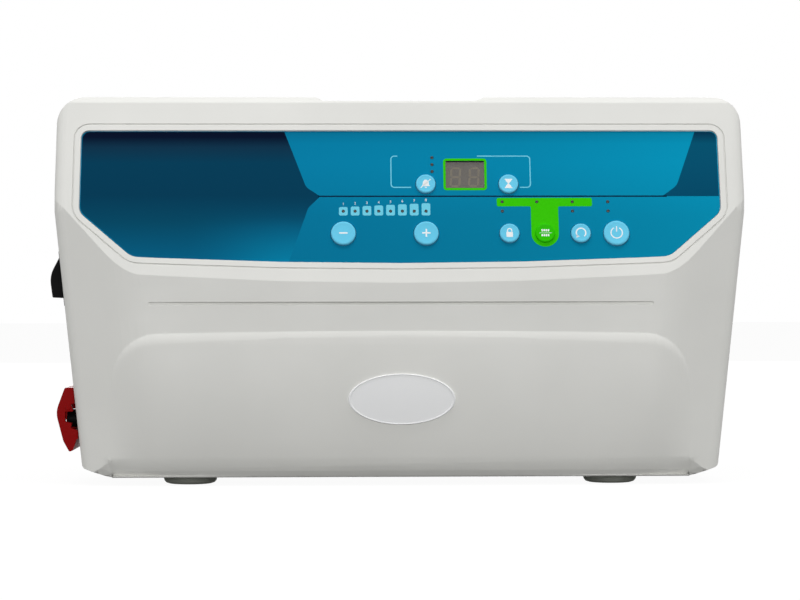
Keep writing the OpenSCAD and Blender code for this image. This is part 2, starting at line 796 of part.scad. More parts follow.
module buzzer() {
    color("black") on_panel(power_x - 16, display_v, board_face - board_t) mirror([0, 0, 1]) difference() {
        cylinder(d = 12, h = 7);
        translate([0, 0, 6]) cylinder(d = 2, h = 2);
    }
}

// Mains rocker switch
module switch_frame() {
    color([0.15, 0.15, 0.15]) on_left_wall() difference() {
        union() {
            plate(frame_size[0], frame_size[1], frame_rim, 1.2);
            translate([0, 0, -body_depth]) plate(body_size[0], body_size[1], body_depth + 0.5, 0.5);
            for (x = [-blade_x, blade_x]) translate([x - blade[0] / 2, -blade[1] / 2, -body_depth - blade[2]])
                cube(blade + [0, 0, 0.5]);
        }
        translate([0, 0, -body_well])
            plate(2 * norm([rocker_size[0] / 2, rocker_edge]) + 2 * run_gap,
                rocker_size[1] + 2 * run_gap, 10, 0.4);
        translate([0, 0, -rocker_sink]) rotate([90, 0, 0])
            cylinder(d = axle_d + 2 * pin_gap, h = body_size[1] + 0.2, center = true);
    }
}

module switch_rocker() {
    x = rocker_size[0] / 2;
    color([0.1, 0.1, 0.1]) on_left_wall() translate([0, 0, -rocker_sink]) rotate([0, rocker_swing / 2, 0])
        rotate([90, 0, 0]) {
            linear_extrude(rocker_size[1], center = true) polygon(rounded([
                [0.9 - x, -rocker_foot, 0.6], [x - 0.9, -rocker_foot, 0.6], [x, rocker_edge, 0.8],
                [0, rocker_crest, 14], [-x, rocker_edge, 0.8]]));
            cylinder(d = axle_d, h = body_size[1] - 0.2, center = true);
        }
}

// Hose coupling
module port_block() {
    color([0.12, 0.12, 0.12]) difference() {
        union() {
            on_land() {
                translate([0, 0, -port_inner]) linear_extrude(port_inner + collar_out)
                    racetrack(collar_l, collar_h);
                translate([0, 0, -wall - flange_t]) linear_extrude(flange_t)
                    racetrack(collar_l + 2 * flange_rim, collar_h + 2 * flange_rim);
            }
            for (s = [-1, 1]) translate([elbow_x, latch_y + s * port_pitch / 2, port_z])
                cylinder(d = nipple_d, h = collar_h / 2 + nipple_l);
        }
        for (s = [-1, 1]) on_land() translate([0, s * port_pitch / 2, collar_out - port_depth]) {
            cylinder(d = port_d, h = port_depth + 1);
            translate([0, 0, 1]) cylinder(d = port_d + groove_w, h = groove_w);
        }
        for (s = [-1, 1]) {
            on_land() translate([0, s * port_pitch / 2, collar_out - port_depth - 10])
                cylinder(d = air_bore, h = 11);
            translate([elbow_x, latch_y + s * port_pitch / 2, port_z])
                cylinder(d = air_bore, h = collar_h + nipple_l);
        }
    }
}

module port_seals() {
    ring = groove_w / 2;
    color([0.3, 0.3, 0.3]) for (s = [-1, 1])
        on_land() translate([0, s * port_pitch / 2, collar_out - port_depth + 1 + ring])
            rotate_extrude() translate([port_d / 2 + ring / 2, 0]) circle(d = ring - 0.1, $fn = 16);
}

// Bowed lever in the release latch's two arms, as steps in x and z from its pivot
latch_side = [
    [-0.3, 2.9, 0.6], [-5, 2.9, 1.2], [-9.8, -10, 12], [-5.8, -25.4, 6], [-2.7, -31, 0.8], [-0.8, -30.4, 0.8],
    [1.2, -24.4, 0.6], [2, -24.2, 0.1], [2, -19.8, 0.4], [-1.9, -18.5, 0.4], [-1.4, -15.9, 0.5],
    [-4.8, -15.1, 0.4], [-4.8, -9.8, 0.4], [-0.6, -9.7, 0.4], [-1.8, -5.8, 0.5], [0.2, -5.5, 0.5]
];

module on_pivot() { translate([pivot_x, latch_y, pivot_z]) children(); }

module release_latch() {
    half = latch_w / 2;
    color([0.5, 0.05, 0.08]) on_pivot() difference() {
        union() {
            for (s = [-1, 1]) {
                translate([0, s * (half - arm_w / 2), 0]) from_front(arm_w) polygon(rounded(latch_side));
                translate([0, s * (half + lug_w / 2 + run_gap) / 2, 0]) rotate([90, 0, 0])
                    cylinder(r = knuckle_r, h = half - lug_w / 2 - run_gap, center = true);
                translate([-3.4, s * half, -7.6]) rotate([-90, 0, 0])
                    cylinder(d = knob_d, h = 1, center = true);
            }
            intersection() {
                from_front(latch_w - 1) polygon(rounded(latch_side));
                union() {
                    block([-far, -half, -top_bar], [far, half, far]);
                    block([-far, -half, -far], [far, half, -low_bar]);
                }
            }
        }
        block([-knuckle_r - 2 * run_gap, -lug_w / 2 - run_gap, -top_bar - 1],
            [far, lug_w / 2 + run_gap, far]);
        translate([0, 1.5 - half, 0]) rotate([-90, 0, 0])
            cylinder(d = latch_pin_d + 2 * pin_gap, h = latch_w);
    }
}

// The pin goes in from the rear, into a blind hole in the front arm
module latch_pin() {
    color("silver") on_pivot() translate([0, 1.7 - latch_w / 2, 0]) rotate([-90, 0, 0])
        cylinder(d = latch_pin_d, h = latch_w - 2.2);
}

// Rear fittings
module filter_cover() {
    w = filter_size[0];
    h = filter_size[1];
    slot_n = 6;
    color("gainsboro") on_rear(filter_at[0], filter_at[1]) difference() {
        union() {
            plate(w + 2 * filter_rim, h + 2 * filter_rim, 2.5, 4);
            translate([0, 0, -8]) plate(w - 2 * seat_gap, h - 2 * seat_gap, 8.5, 3);
        }
        translate([0, 0, -9]) plate(w - 3.4, h - 3.4, 9, 1.4);
        for (i = [0 : slot_n - 1]) translate([0, (i - (slot_n - 1) / 2) * h / (slot_n + 0.5), -1])
            plate(w - 10, 2.6, 5, 1.2);
    }
}

module filter_foam() {
    color([0.25, 0.25, 0.27]) on_rear(filter_at[0], filter_at[1], rear_y - foam_t - 0.1)
        plate(filter_size[0] - 3.8, filter_size[1] - 3.8, foam_t, 1.2);
}

module power_inlet() {
    x = inlet_size[0] / 2 - 1.3;
    z = inlet_size[1] / 2 - 1.7;
    color([0.12, 0.12, 0.12]) on_rear(inlet_at[0], inlet_at[1]) difference() {
        union() {
            plate(inlet_flange[0], inlet_flange[1], inlet_flange[2], 3);
            translate([0, 0, -inlet_depth]) plate(inlet_size[0], inlet_size[1], inlet_depth + 0.5, 1);
        }
        translate([0, 0, -inlet_well]) linear_extrude(inlet_depth + 2)
            polygon([[-x, -z], [x, -z], [x, z - 4.5], [x - 4.5, z], [4.5 - x, z], [-x, z - 4.5]]);
        for (s = [-1, 1]) translate([s * inlet_screw_x, 0, -1]) cylinder(d = inlet_screw_d, h = 5);
        for (p = pin_places) translate([p[0], p[1], -inlet_depth - 2])
            cube([pin_size[0] + pin_gap, pin_size[1] + pin_gap, inlet_depth + 2], center = true);
    }
}

module inlet_pins() {
    color("silver") {
        on_rear(inlet_at[0], inlet_at[1]) for (p = pin_places)
            translate([p[0] - pin_size[0] / 2, p[1] - pin_size[1] / 2, -inlet_depth - 8]) cube(pin_size);
        for (s = [-1, 1]) on_rear(inlet_at[0] + s * inlet_screw_x, inlet_at[1]) {
            translate([0, 0, -wall - 4])
                cylinder(d = inlet_screw_d - 2 * pin_gap, h = wall + 4 + inlet_flange[2] + 0.1);
            translate([0, 0, inlet_flange[2]]) cylinder(d = 5.6, h = 1.4);
        }
    }
}

module fuse_holders() {
    color([0.15, 0.15, 0.15]) for (z = fuse_z) on_rear(fuse_x, z) difference() {
        union() {
            cylinder(d = fuse_d + 3, h = fuse_wall);
            translate([0, 0, -fuse_l]) cylinder(d = fuse_d, h = fuse_l + 1);
        }
        translate([0, 0, fuse_wall - fuse_l]) cylinder(d = fuse_d - 2 * fuse_wall, h = fuse_l + 4);
    }
}

module fuse_caps() {
    color([0.2, 0.2, 0.2]) for (z = fuse_z) on_rear(fuse_x, z) difference() {
        union() {
            translate([0, 0, fuse_wall]) cylinder(d = fuse_d, h = 3.6);
            translate([0, 0, 8 - fuse_l])
                cylinder(d = fuse_d - 2 * fuse_wall - 2 * pin_gap, h = fuse_l - 5.5);
        }
        translate([-4, -0.6, fuse_wall + 2.4]) cube([8, 1.2, 3]);
    }
}

module case_screws() {
    color("silver") at_case_screws() rotate([-90, 0, 0]) difference() {
        union() {
            translate([0, 0, screw_seat]) cylinder(d = screw_head, h = 2.6);
            translate([0, 0, -screw_l]) cylinder(d = screw_d, h = screw_l + screw_seat + 0.5);
        }
        translate([0, 0, screw_seat + 1]) for (a = [0, 90]) rotate(a) translate([-2.4, -0.5, 0])
            cube([4.8, 1, 3]);
    }
}

module board_screw() {
    cylinder(d = board_screw_d, h = 6);
    translate([0, 0, -1.6]) cylinder(d = 4.6, h = 1.6);
}

module board_screws() {
    color("silver") {
        for (h = board_holes) on_panel(h[0], h[1], board_face - board_t) board_screw();
        for (h = main_holes) on_rear(h[0], h[1], main_y) board_screw();
    }
}

module main_board() {
    color("darkgreen") difference() {
        on_rear((main_x[0] + main_x[1]) / 2, (main_z[0] + main_z[1]) / 2, main_y)
            plate(main_x[1] - main_x[0], main_z[1] - main_z[0], board_t, 2);
        for (h = main_holes) on_rear(h[0], h[1], main_y - 1)
            cylinder(d = board_screw_d + 0.4, h = board_t + 2);
    }
}

// Large parts on the front of the main board, by their place from its lower left corner
module board_parts() {
    at = [main_x[0], 0, main_z[0]];
    color([0.25, 0.25, 0.35]) {
        for (i = [0 : 2]) on_rear(at[0] + cap_d * (1.6 + 1.4 * i), at[2] + 2.4 * cap_d, main_y - cap_h)
            cylinder(d = cap_d, h = cap_h);
        for (at = sink_at) on_board(at, sink_size);
        on_board(chip_at, chip_size);
        on_board(relay_at, relay_size);
        on_board(coil_at, coil_size);
        on_board(plug_at, ribbon_plug);
    }
}

module on_board(at, size) {
    translate([main_x[0] + at[0], main_y - size[1], main_z[0] + at[1]]) cube(size);
}

module transformer() {
    color([0.35, 0.3, 0.3]) translate([transformer_at[0], transformer_at[1], floor_z]) {
        translate([-core_size[0] / 2, -core_size[1] / 2, core_foot[2]]) cube(core_size);
        translate([-core_foot[0] / 2, -core_foot[1] / 2, 0]) cube(core_foot);
        translate([0, 0, (core_size[2] - bobbin_size[2]) / 2 + core_foot[2]])
            plate(bobbin_size[0], bobbin_size[1], bobbin_size[2], 5);
    }
}

// Flat cable from the display board to the main board, seen from the side
module ribbon_cable() {
    back = board_face - board_t;
    a = [front_y + ribbon_v * sin(panel_lean) - back * cos(panel_lean),
        crease_z + ribbon_v * cos(panel_lean) + back * sin(panel_lean)];
    d = [main_y - ribbon_plug[1], main_z[0] + plug_at[1] + ribbon_plug[2] / 2];
    b = a + [ribbon_sag[0], -ribbon_sag[1]];
    c = d - [ribbon_sag[2], -ribbon_sag[3]];
    n = 12;
    upper = [for (i = [0 : n]) curve(a, b, c, d, i / n)];
    lower = [for (i = [n : -1 : 0]) curve(a, b, c, d, i / n) - [0, ribbon_t]];
    color("lightgray") translate([main_x[0] + plug_at[0] + ribbon_plug[0] / 2, 0, 0])
        from_side(ribbon_w) polygon(concat(lower, upper));
}

// Compressor
module on_pump() { translate([pump_x, pump_y, 0]) children(); }

module rubber_mounts() {
    h = mount_h;
    color([0.2, 0.2, 0.2]) on_pump() for (x = [-1, 1], y = [-1, 1])
        translate([x * (base_l / 2 - 10), y * (base_w / 2 - 10), floor_z])
            rotate_extrude() polygon([[0, 0], [7, 0], [7, 2.5], [5, h / 2], [7, h - 2.5], [7, h], [0, h]]);
}

module compressor_frame() {
    top = axis_z + half_h;
    color("slategray") on_pump() difference() {
        union() {
            translate([0, 0, base_z]) plate(base_l, base_w, plate_t, 4);
            for (s = [-1, 1]) translate([s * (frame_l + plate_t) / 2, 0, (base_z + top) / 2 + plate_t / 2])
                cube([plate_t, base_w - 2, top - base_z + plate_t], center = true);
            translate([0, 0, top]) plate(frame_l + 2 * plate_t, base_w - 2, plate_t, 1);
        }
        translate([0, 0, axis_z]) rotate([0, 90, 0])
            cylinder(d = diaphragm_d - 10, h = 2 * base_l, center = true);
    }
}

module compressor_cores() {
    slot = (core_w - 3 * leg_w) / 2;
    color("gray") on_pump() for (s = [0, 1]) translate([0, 0, axis_z]) mirror([0, 0, s])
        translate([0, 0, -half_h])
        from_front(core_d) difference() {
            translate([-core_w / 2, 0]) square([core_w, core_h]);
            for (k = [-1, 1]) translate([k * (leg_w + slot) / 2 - slot / 2, core_back])
                square([slot, core_h]);
        }
}

module compressor_coils() {
    slot = (core_w - 3 * leg_w) / 2;
    color("chocolate") on_pump() for (s = [0, 1]) translate([0, 0, axis_z]) mirror([0, 0, s])
        translate([0, 0, -half_h + core_back]) linear_extrude(core_h - core_back - 1) difference() {
            polygon(rounded(box_outline(leg_w + 2 * slot - 1, core_d + 2 * slot - 1, 4)));
            polygon(rounded(box_outline(leg_w + 0.6, core_d + 0.6, 1)));
        }
}

module magnet_armature() {
    reach = head_x + diaphragm_t;
    bar = frame_l - 2 * (stroke + 4.5);
    color("darkgray") on_pump() translate([0, 0, axis_z]) {
        difference() {
            cube([bar, 22, armature_t], center = true);
            for (s = [-1, 1]) translate([s * 16, 0, 0]) cube([18, 14, armature_t + 2], center = true);
        }
        for (s = [-1, 1]) translate([s * 16, 0, 0]) cube([17.8, 13.8, armature_t - 1], center = true);
        for (s = [-1, 1]) rotate([0, s * 90, 0]) {
            translate([0, 0, bar / 2 - 1]) cylinder(d = shaft_d, h = reach + 1 - bar / 2);
            translate([0, 0, head_x - diaphragm_t - washer_t]) cylinder(d = washer_d, h = washer_t);
            translate([0, 0, head_x]) cylinder(d = washer_d, h = washer_t);
        }
    }
}

module diaphragms() {
    color([0.1, 0.1, 0.1]) on_pump() for (s = [-1, 1]) translate([0, 0, axis_z]) rotate([0, s * 90, 0])
        translate([0, 0, head_x - diaphragm_t]) difference() {
            cylinder(d = diaphragm_d, h = diaphragm_t);
            translate([0, 0, -1]) cylinder(d = shaft_d, h = diaphragm_t + 2);
        }
}

// Valve head on the outside of one diaphragm, with its intake and outlet on top
module valve_head() {
    translate([head_x, 0, axis_z]) rotate([90, 0, 90]) difference() {
        plate(head_w, head_w, head_l, 5);
        translate([0, 0, -1]) cylinder(d = diaphragm_d - 8, h = washer_t + stroke + 3);
        for (s = [-1, 1]) translate([s * 8, 0, head_l / 2]) rotate([-90, 0, 0]) cylinder(d = 3, h = head_w);
    }
    for (s = [-1, 1]) translate([head_x + head_l / 2, s * 8, head_top - bite]) difference() {
        cylinder(d = nipple_d, h = nipple_l + bite);
        translate([0, 0, -1]) cylinder(d = 3, h = nipple_l + 4);
    }
}

module right_valve_head() { color("dimgray") on_pump() valve_head(); }
module left_valve_head() { color("dimgray") on_pump() mirror([1, 0, 0]) valve_head(); }

// Distributor valve
module at_valve(z) { translate([valve_x, valve_y, z]) children(); }

module valve_bracket() {
    w = valve_d + 12;
    foot = w / 2 + bracket_foot;
    color("slategray") difference() {
        at_valve(0) from_front(44) polygon([
            [-foot, floor_z], [-w / 2, floor_z], [-w / 2, valve_z - sheet_t], [w / 2, valve_z - sheet_t],
            [w / 2, floor_z], [foot, floor_z], [foot, floor_z + sheet_t],
            [w / 2 + sheet_t, floor_z + sheet_t], [w / 2 + sheet_t, valve_z], [-w / 2 - sheet_t, valve_z],
            [-w / 2 - sheet_t, floor_z + sheet_t], [-foot, floor_z + sheet_t]]);
        at_valve(valve_z - 5) cylinder(d = 10, h = 10);
    }
}

module valve_motor() {
    color("silver") at_valve(valve_z - sheet_t - motor_h) difference() {
        cylinder(d = motor_d, h = motor_h);
        translate([0, 0, motor_h - 12]) cylinder(d = valve_shaft_d + 2 * pin_gap, h = 13);
    }
}

module valve_body() {
    color("ivory") at_valve(valve_z) difference() {
        cylinder(d = valve_d, h = cup_h);
        translate([0, 0, cup_floor]) cylinder(d = valve_d - 6, h = cup_h);
        translate([0, 0, -1]) cylinder(d = valve_shaft_d + 2 * run_gap, h = cup_h);
    }
}

module valve_disc() {
    color("orange") at_valve(valve_z) difference() {
        union() {
            translate([0, 0, cup_floor + run_gap]) cylinder(d = valve_d - 6 - 2 * run_gap, h = disc_t);
            translate([0, 0, -sheet_t - 11]) cylinder(d = valve_shaft_d, h = cup_floor + sheet_t + 14);
            translate([0, 0, cup_floor + disc_t]) cylinder(d = 12, h = cup_h - cup_floor - disc_t - run_gap);
        }
        for (a = [20 : 20 : 140]) rotate(a) translate([outlet_off, 0, cup_floor])
            cylinder(d = 5, h = disc_t + 2);
    }
}

module valve_cover() {
    color("ivory") at_valve(valve_z + cup_h) difference() {
        union() {
            cylinder(d = valve_d, h = cap_t);
            for (p = [[inlet_off, 0], [-inlet_off, 0], [0, outlet_off], [0, -outlet_off]])
                translate([p[0], p[1], cap_t - bite]) cylinder(d = nipple_d, h = nipple_l + bite);
        }
        for (p = [[inlet_off, 0], [-inlet_off, 0], [0, outlet_off], [0, -outlet_off]])
            translate([p[0], p[1], -1]) cylinder(d = 3, h = cap_t + nipple_l + 2);
    }
}

// Round tube along a curve from a to d, both ends pushed down over upright nipples
module air_tube(a, b, c, d, n = 16, sides = 10) {
    points = [for (i = [0 : n]) curve(a, b, c, d, i / n)];
    along = [for (i = [0 : n])
        i == 0 ? [0, 0, 1] : i == n ? [0, 0, -1] : unit(points[i + 1] - points[i - 1])];
    rings = [for (i = [0 : n]) let(q = unit(cross(along[i], [0, 1, 0])), r = cross(q, along[i]))
        for (k = [0 : sides - 1])
            points[i] + tube_d / 2 * (cos(360 * k / sides) * q + sin(360 * k / sides) * r)];
    walls = [for (i = [0 : n - 1], k = [0 : sides - 1]) let(l = (k + 1) % sides)
        [i * sides + k, i * sides + l, (i + 1) * sides + l, (i + 1) * sides + k]];
    difference() {
        polyhedron(rings, concat(walls, [[for (k = [sides - 1 : -1 : 0]) k]],
            [[for (k = [0 : sides - 1]) n * sides + k]]));
        for (e = [a, d]) translate(e - [0, 0, 1]) cylinder(d = tube_bore, h = nipple_l + 1.5);
    }
}

module left_head_tube() {
    a = [pump_x - head_x - head_l / 2, outlet_y, head_top];
    d = [valve_x + inlet_off, valve_y, cap_top];
    color("lightcyan") air_tube(a, a + [0, 0, tube_rise[0]], d + [0, 0, tube_rise[1]], d);
}

module right_head_tube() {
    a = [pump_x + head_x + head_l / 2, outlet_y, head_top];
    d = [valve_x - inlet_off, valve_y, cap_top];
    color("lightcyan") air_tube(a, a + [0, 0, tube_rise[2]], d + [0, 0, tube_rise[3]], d, 22);
}

module port_tubes() {
    color("lightcyan") for (s = [-1, 1]) {
        a = [elbow_x, latch_y + s * port_pitch / 2, port_z + collar_h / 2];
        d = [valve_x, valve_y + s * outlet_off, cap_top];
        air_tube(a, a + [0, 0, tube_rise[4]], d + [0, 0, tube_rise[5]], d);
    }
}

front_housing();
rear_cover();
panel_overlay();
display_window();
oval_badge();
rubber_feet();
mute_key();
cycle_key();
soft_key();
firm_key();
lock_key();
mode_key();
auto_key();
power_key();
display_board();
display_module();
indicator_lamps();
key_switches();
buzzer();
switch_frame();
switch_rocker();
port_block();
port_seals();
release_latch();
latch_pin();
left_hook();
right_hook();
hook_pins();
filter_cover();
filter_foam();
power_inlet();
inlet_pins();
fuse_holders();
fuse_caps();
case_screws();
board_screws();
main_board();
board_parts();
transformer();
ribbon_cable();
rubber_mounts();
compressor_frame();
compressor_cores();
compressor_coils();
magnet_armature();
diaphragms();
left_valve_head();
right_valve_head();
valve_bracket();
valve_motor();
valve_body();
valve_disc();
valve_cover();
left_head_tube();
right_head_tube();
port_tubes();
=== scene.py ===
import json
import math

import bmesh
import bpy
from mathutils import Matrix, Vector
from mathutils.bvhtree import BVHTree
from mathutils.geometry import tessellate_polygon


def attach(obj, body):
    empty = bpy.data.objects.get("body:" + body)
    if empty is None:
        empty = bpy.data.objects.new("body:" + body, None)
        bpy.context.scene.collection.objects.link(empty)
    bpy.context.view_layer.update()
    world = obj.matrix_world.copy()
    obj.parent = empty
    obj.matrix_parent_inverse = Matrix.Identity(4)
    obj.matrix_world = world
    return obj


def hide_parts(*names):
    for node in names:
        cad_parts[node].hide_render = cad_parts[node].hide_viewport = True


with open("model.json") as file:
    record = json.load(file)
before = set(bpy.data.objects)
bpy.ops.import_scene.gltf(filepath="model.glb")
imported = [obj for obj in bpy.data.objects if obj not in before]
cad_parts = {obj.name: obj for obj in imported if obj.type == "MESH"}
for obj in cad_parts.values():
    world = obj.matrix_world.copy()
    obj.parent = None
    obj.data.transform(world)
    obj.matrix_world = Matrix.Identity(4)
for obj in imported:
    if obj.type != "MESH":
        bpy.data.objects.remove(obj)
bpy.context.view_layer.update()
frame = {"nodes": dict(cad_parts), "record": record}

nodes = frame["nodes"]
slots = {part["node"]: part["material_slot"] for part in frame["record"]["subparts"]}
bodyOf = {node: body for body, held in frame["record"]["behaviour"]["bodies"].items() for node in held}
scene = bpy.context.scene
mm = 0.001


# ---- camera

view = {
    "focalPixels": 2394.6, "imageWidth": 800, "sensor": 36.0, "distance": 1260 * mm, "height": 97.3 * mm,
    "aim": (-0.65 * mm, -50 * mm), "yaw": 1.5, "roll": 0.1,
}
camera = bpy.data.cameras.new("camera")
camera.sensor_width = view["sensor"]
camera.lens = view["sensor"] * view["focalPixels"] / view["imageWidth"]
cameraObject = bpy.data.objects.new("camera", camera)
scene.collection.objects.link(cameraObject)
yaw = math.radians(view["yaw"])
cameraObject.location = (
    view["aim"][0] - math.sin(yaw) * view["distance"],
    view["aim"][1] - math.cos(yaw) * view["distance"],
    view["height"],
)
cameraObject.rotation_euler = (math.radians(90), math.radians(view["roll"]), -yaw)
scene.camera = cameraObject
scene.view_settings.view_transform = "Standard"


# ---- shader trees

class Wire:  # one output socket of a shader tree, so that sums on it add Math nodes
    def __init__(self, tree, socket):
        self.tree, self.socket = tree, socket

    def math(self, operation, *values):
        return self.tree.add("ShaderNodeMath", {"operation": operation}, list(values))

    def __add__(self, other): return self.math("ADD", self, other)
    def __radd__(self, other): return self.math("ADD", other, self)
    def __sub__(self, other): return self.math("SUBTRACT", self, other)
    def __rsub__(self, other): return self.math("SUBTRACT", other, self)
    def __mul__(self, other): return self.math("MULTIPLY", self, other)
    def __rmul__(self, other): return self.math("MULTIPLY", other, self)
    def __truediv__(self, other): return self.math("DIVIDE", self, other)
    def __rtruediv__(self, other): return self.math("DIVIDE", other, self)


class Finish:  # a material or a world, and its tree
    def __init__(self, name, kind="materials", end="ShaderNodeOutputMaterial"):
        self.made = getattr(bpy.data, kind).new(name)
        self.made.use_nodes = True
        self.tree = self.made.node_tree
        self.tree.nodes.clear()
        self.end = self.tree.nodes.new(end)

    def add(self, kind, settings=None, values=(), output=0):
        node = self.tree.nodes.new(kind)
        for key, value in (settings or {}).items():
            if key == "stops":
                ramp = node.color_ramp
                while len(ramp.elements) < len(value):
                    ramp.elements.new(0.5)
                for element, (at, colour) in zip(ramp.elements, value):
                    element.position, element.color = at, (*colour, 1)
            else:
                setattr(node, key, value)
        pairs = values.items() if isinstance(values, dict) else enumerate(values)
        for key, value in pairs:
            if isinstance(value, Wire):
                self.tree.links.new(value.socket, node.inputs[key])
            elif value is not None:
                node.inputs[key].default_value = value
        return Wire(self, node.outputs[output])

    def place(self):  # the point in the shared frame
        return self.add("ShaderNodeTexCoord", output="Object")

    def axis(self, number):
        return self.add("ShaderNodeSeparateXYZ", {}, [self.place()], number)

    def noise(self, scale, detail=3.0, stretch=None):
        at = self.place()
        if stretch:
            at = self.add("ShaderNodeMapping", {}, {"Vector": at, "Scale": stretch})
        return self.add("ShaderNodeTexNoise", {}, {"Vector": at, "Scale": scale, "Detail": detail})

    def fade(self, value, low, high, start=0.0, end=1.0, smooth=False):
        settings = {"clamp": True, "interpolation_type": "SMOOTHSTEP" if smooth else "LINEAR"}
        return self.add("ShaderNodeMapRange", settings, [value, low, high, start, end])

    def ramp(self, value, stops):  # stops are (value, colour), from the lowest up
        low, high = stops[0][0], stops[-1][0]
        share = self.fade(value, low, high)
        scaled = [((at - low) / (high - low), colour) for at, colour in stops]
        return self.add("ShaderNodeValToRGB", {"stops": scaled}, [share])

    def mix(self, share, first, second, blend="MIX"):
        settings = {"data_type": "RGBA", "blend_type": blend}
        return self.add("ShaderNodeMix", settings, {"Factor": share, 6: first, 7: second}, output=2)

    def bump(self, height, strength, depth, below=None):
        values = {"Height": height, "Strength": strength, "Distance": depth, "Normal": below}
        return self.add("ShaderNodeBump", {}, values)

    def softEdge(self, radius):
        return self.add("ShaderNodeBevel", {"samples": 4}, {"Radius": radius})

    def surface(self, values):
        shader = self.add("ShaderNodeBsdfPrincipled", {}, values)
        self.tree.links.new(shader.socket, self.end.inputs["Surface"])
        return self.made


def rgb(red, green, blue):  # a colour written as 0 to 255, as it looks
    def linear(c):
        c = c / 255
        return c / 12.92 if c <= 0.04045 else ((c + 0.055) / 1.055) ** 2.4
    return (linear(red), linear(green), linear(blue))


def full(colour):
    return (*colour, 1.0)


# ---- floor, backdrop and lamps

studio = {
    "floor": rgb(226, 226, 224), "floorBounce": rgb(110, 110, 108), "floorSeen": 0.9, "floorGlow": 1.05,
    "fill": 0.32, "floorHalf": 9,
    "lamps": [  # place, aim, width, height, watts
        ((0, -0.36, 1.7), (0, -0.06, 0.1), 1.8, 0.5, 15.5),
        ((-2.2, 0, 0.6), (0, 0, 0.1), 1.2, 1.2, 6.0),
        ((2.2, 0, 0.6), (0, 0, 0.1), 1.2, 1.2, 6.5),
        ((0, 2.3, 0.6), (0, 0, 0.1), 1.8, 1.2, 17.0),
        ((0, -2.2, 0.55), (0, 0, 0.1), 1.8, 1.2, 21.0),
    ],
}


def seenDirectly(finish):  # 1 for the camera, mirrors and glass, so that lighting is unchanged
    seen = finish.add("ShaderNodeLightPath", output="Is Camera Ray")
    for ray in ("Is Glossy Ray", "Is Transmission Ray"):
        seen = seen.math("MAXIMUM", seen, finish.add("ShaderNodeLightPath", output=ray))
    return seen


def paleFloor():
    finish = Finish("paleFloor")
    speckle = finish.fade(finish.noise(60, 2), 0.3, 0.7)
    pale = finish.mix(speckle, full(studio["floor"]), full([c * 0.98 for c in studio["floor"]]))
    seen = seenDirectly(finish)
    colour = finish.mix(seen, full(studio["floorBounce"]), pale)
    lit = finish.add("ShaderNodeBsdfDiffuse", {}, {"Color": colour})
    white = finish.add("ShaderNodeEmission", {}, {"Color": (1, 1, 1, 1), "Strength": studio["floorGlow"]})
    both = finish.add("ShaderNodeMixShader", {}, [seen * studio["floorSeen"], lit, white])
    finish.tree.links.new(both.socket, finish.end.inputs["Surface"])
    mesh = bpy.data.meshes.new("floor")
    half = studio["floorHalf"]
    corners = [(x * half, y * half, 0) for x, y in ((-1, -1), (1, -1), (1, 1), (-1, 1))]
    mesh.from_pydata(corners, [], [(0, 1, 2, 3)])
    mesh.materials.append(finish.made)
    floor = bpy.data.objects.new("floor", mesh)
    scene.collection.objects.link(floor)


def whiteWorld():
    sky = Finish("studio", "worlds", "ShaderNodeOutputWorld")
    strength = seenDirectly(sky) * (1 - studio["fill"]) + studio["fill"]
    back = sky.add("ShaderNodeBackground", {}, {"Color": (1, 1, 1, 1), "Strength": strength})
    sky.tree.links.new(back.socket, sky.end.inputs["Surface"])
    scene.world = sky.made


def softbox(place, aim, width, height, watts):
    lamp = bpy.data.lights.new("softbox", "AREA")
    lamp.shape, lamp.size, lamp.size_y, lamp.energy = "RECTANGLE", width, height, watts
    held = bpy.data.objects.new("softbox", lamp)
    held.location = place
    held.rotation_euler = (Vector(place) - Vector(aim)).to_track_quat("Z", "Y").to_euler()
    scene.collection.objects.link(held)


paleFloor()
whiteWorld()
for lamp in studio["lamps"]:
    softbox(*lamp)
print("stage: camera, floor and lamps")


# ---- finishes

def moulded(name, colour, rough=0.42, grain=0.25, grainSize=2600, shade=6, edge=0.0003, gloss=0.5):
    # moulded plastic: spark-eroded grain, slightly uneven colour and gloss, softened edges
    finish = Finish(name)
    cloud = finish.fade(finish.noise(14, 3), 0.3, 0.7)
    tone = finish.mix(cloud, full(rgb(*[max(0, c - shade) for c in colour])), full(rgb(*colour)))
    wear = finish.fade(finish.noise(90, 4), 0.35, 0.75, rough - 0.04, rough + 0.06)
    normal = finish.bump(finish.noise(grainSize, 2), grain, 0.00004, finish.softEdge(edge))
    return finish.surface({
        "Base Color": tone, "Roughness": wear, "Specular IOR Level": gloss, "Normal": normal,
    })


def metal(name, colour, rough=0.32, stretch=(1, 1, 1), edge=0.0002):
    finish = Finish(name)
    streaks = finish.noise(700, 3, stretch)
    share = finish.fade(streaks, 0.3, 0.7)
    tone = finish.mix(share, full([c * 0.86 for c in rgb(*colour)]), full(rgb(*colour)))
    normal = finish.bump(streaks, 0.2, 0.00003, finish.softEdge(edge))
    return finish.surface({
        "Base Color": tone, "Metallic": 1.0, "Normal": normal,
        "Roughness": finish.fade(streaks, 0.3, 0.7, rough - 0.06, rough + 0.08),
    })


def banded(name, direction, scale, wobble, dark, pale, rough, strength, depth, metallic=0.0):
    # sheets, turns of wire or conductors side by side
    finish = Finish(name)
    values = {"Vector": finish.place(), "Scale": scale, "Distortion": wobble}
    bands = finish.add("ShaderNodeTexWave", {"bands_direction": direction}, values)
    return finish.surface({
        "Base Color": finish.mix(bands, full(rgb(*dark)), full(rgb(*pale))), "Metallic": metallic,
        "Roughness": finish.fade(bands, 0, 1, *rough), "Normal": finish.bump(bands, strength, depth),
    })


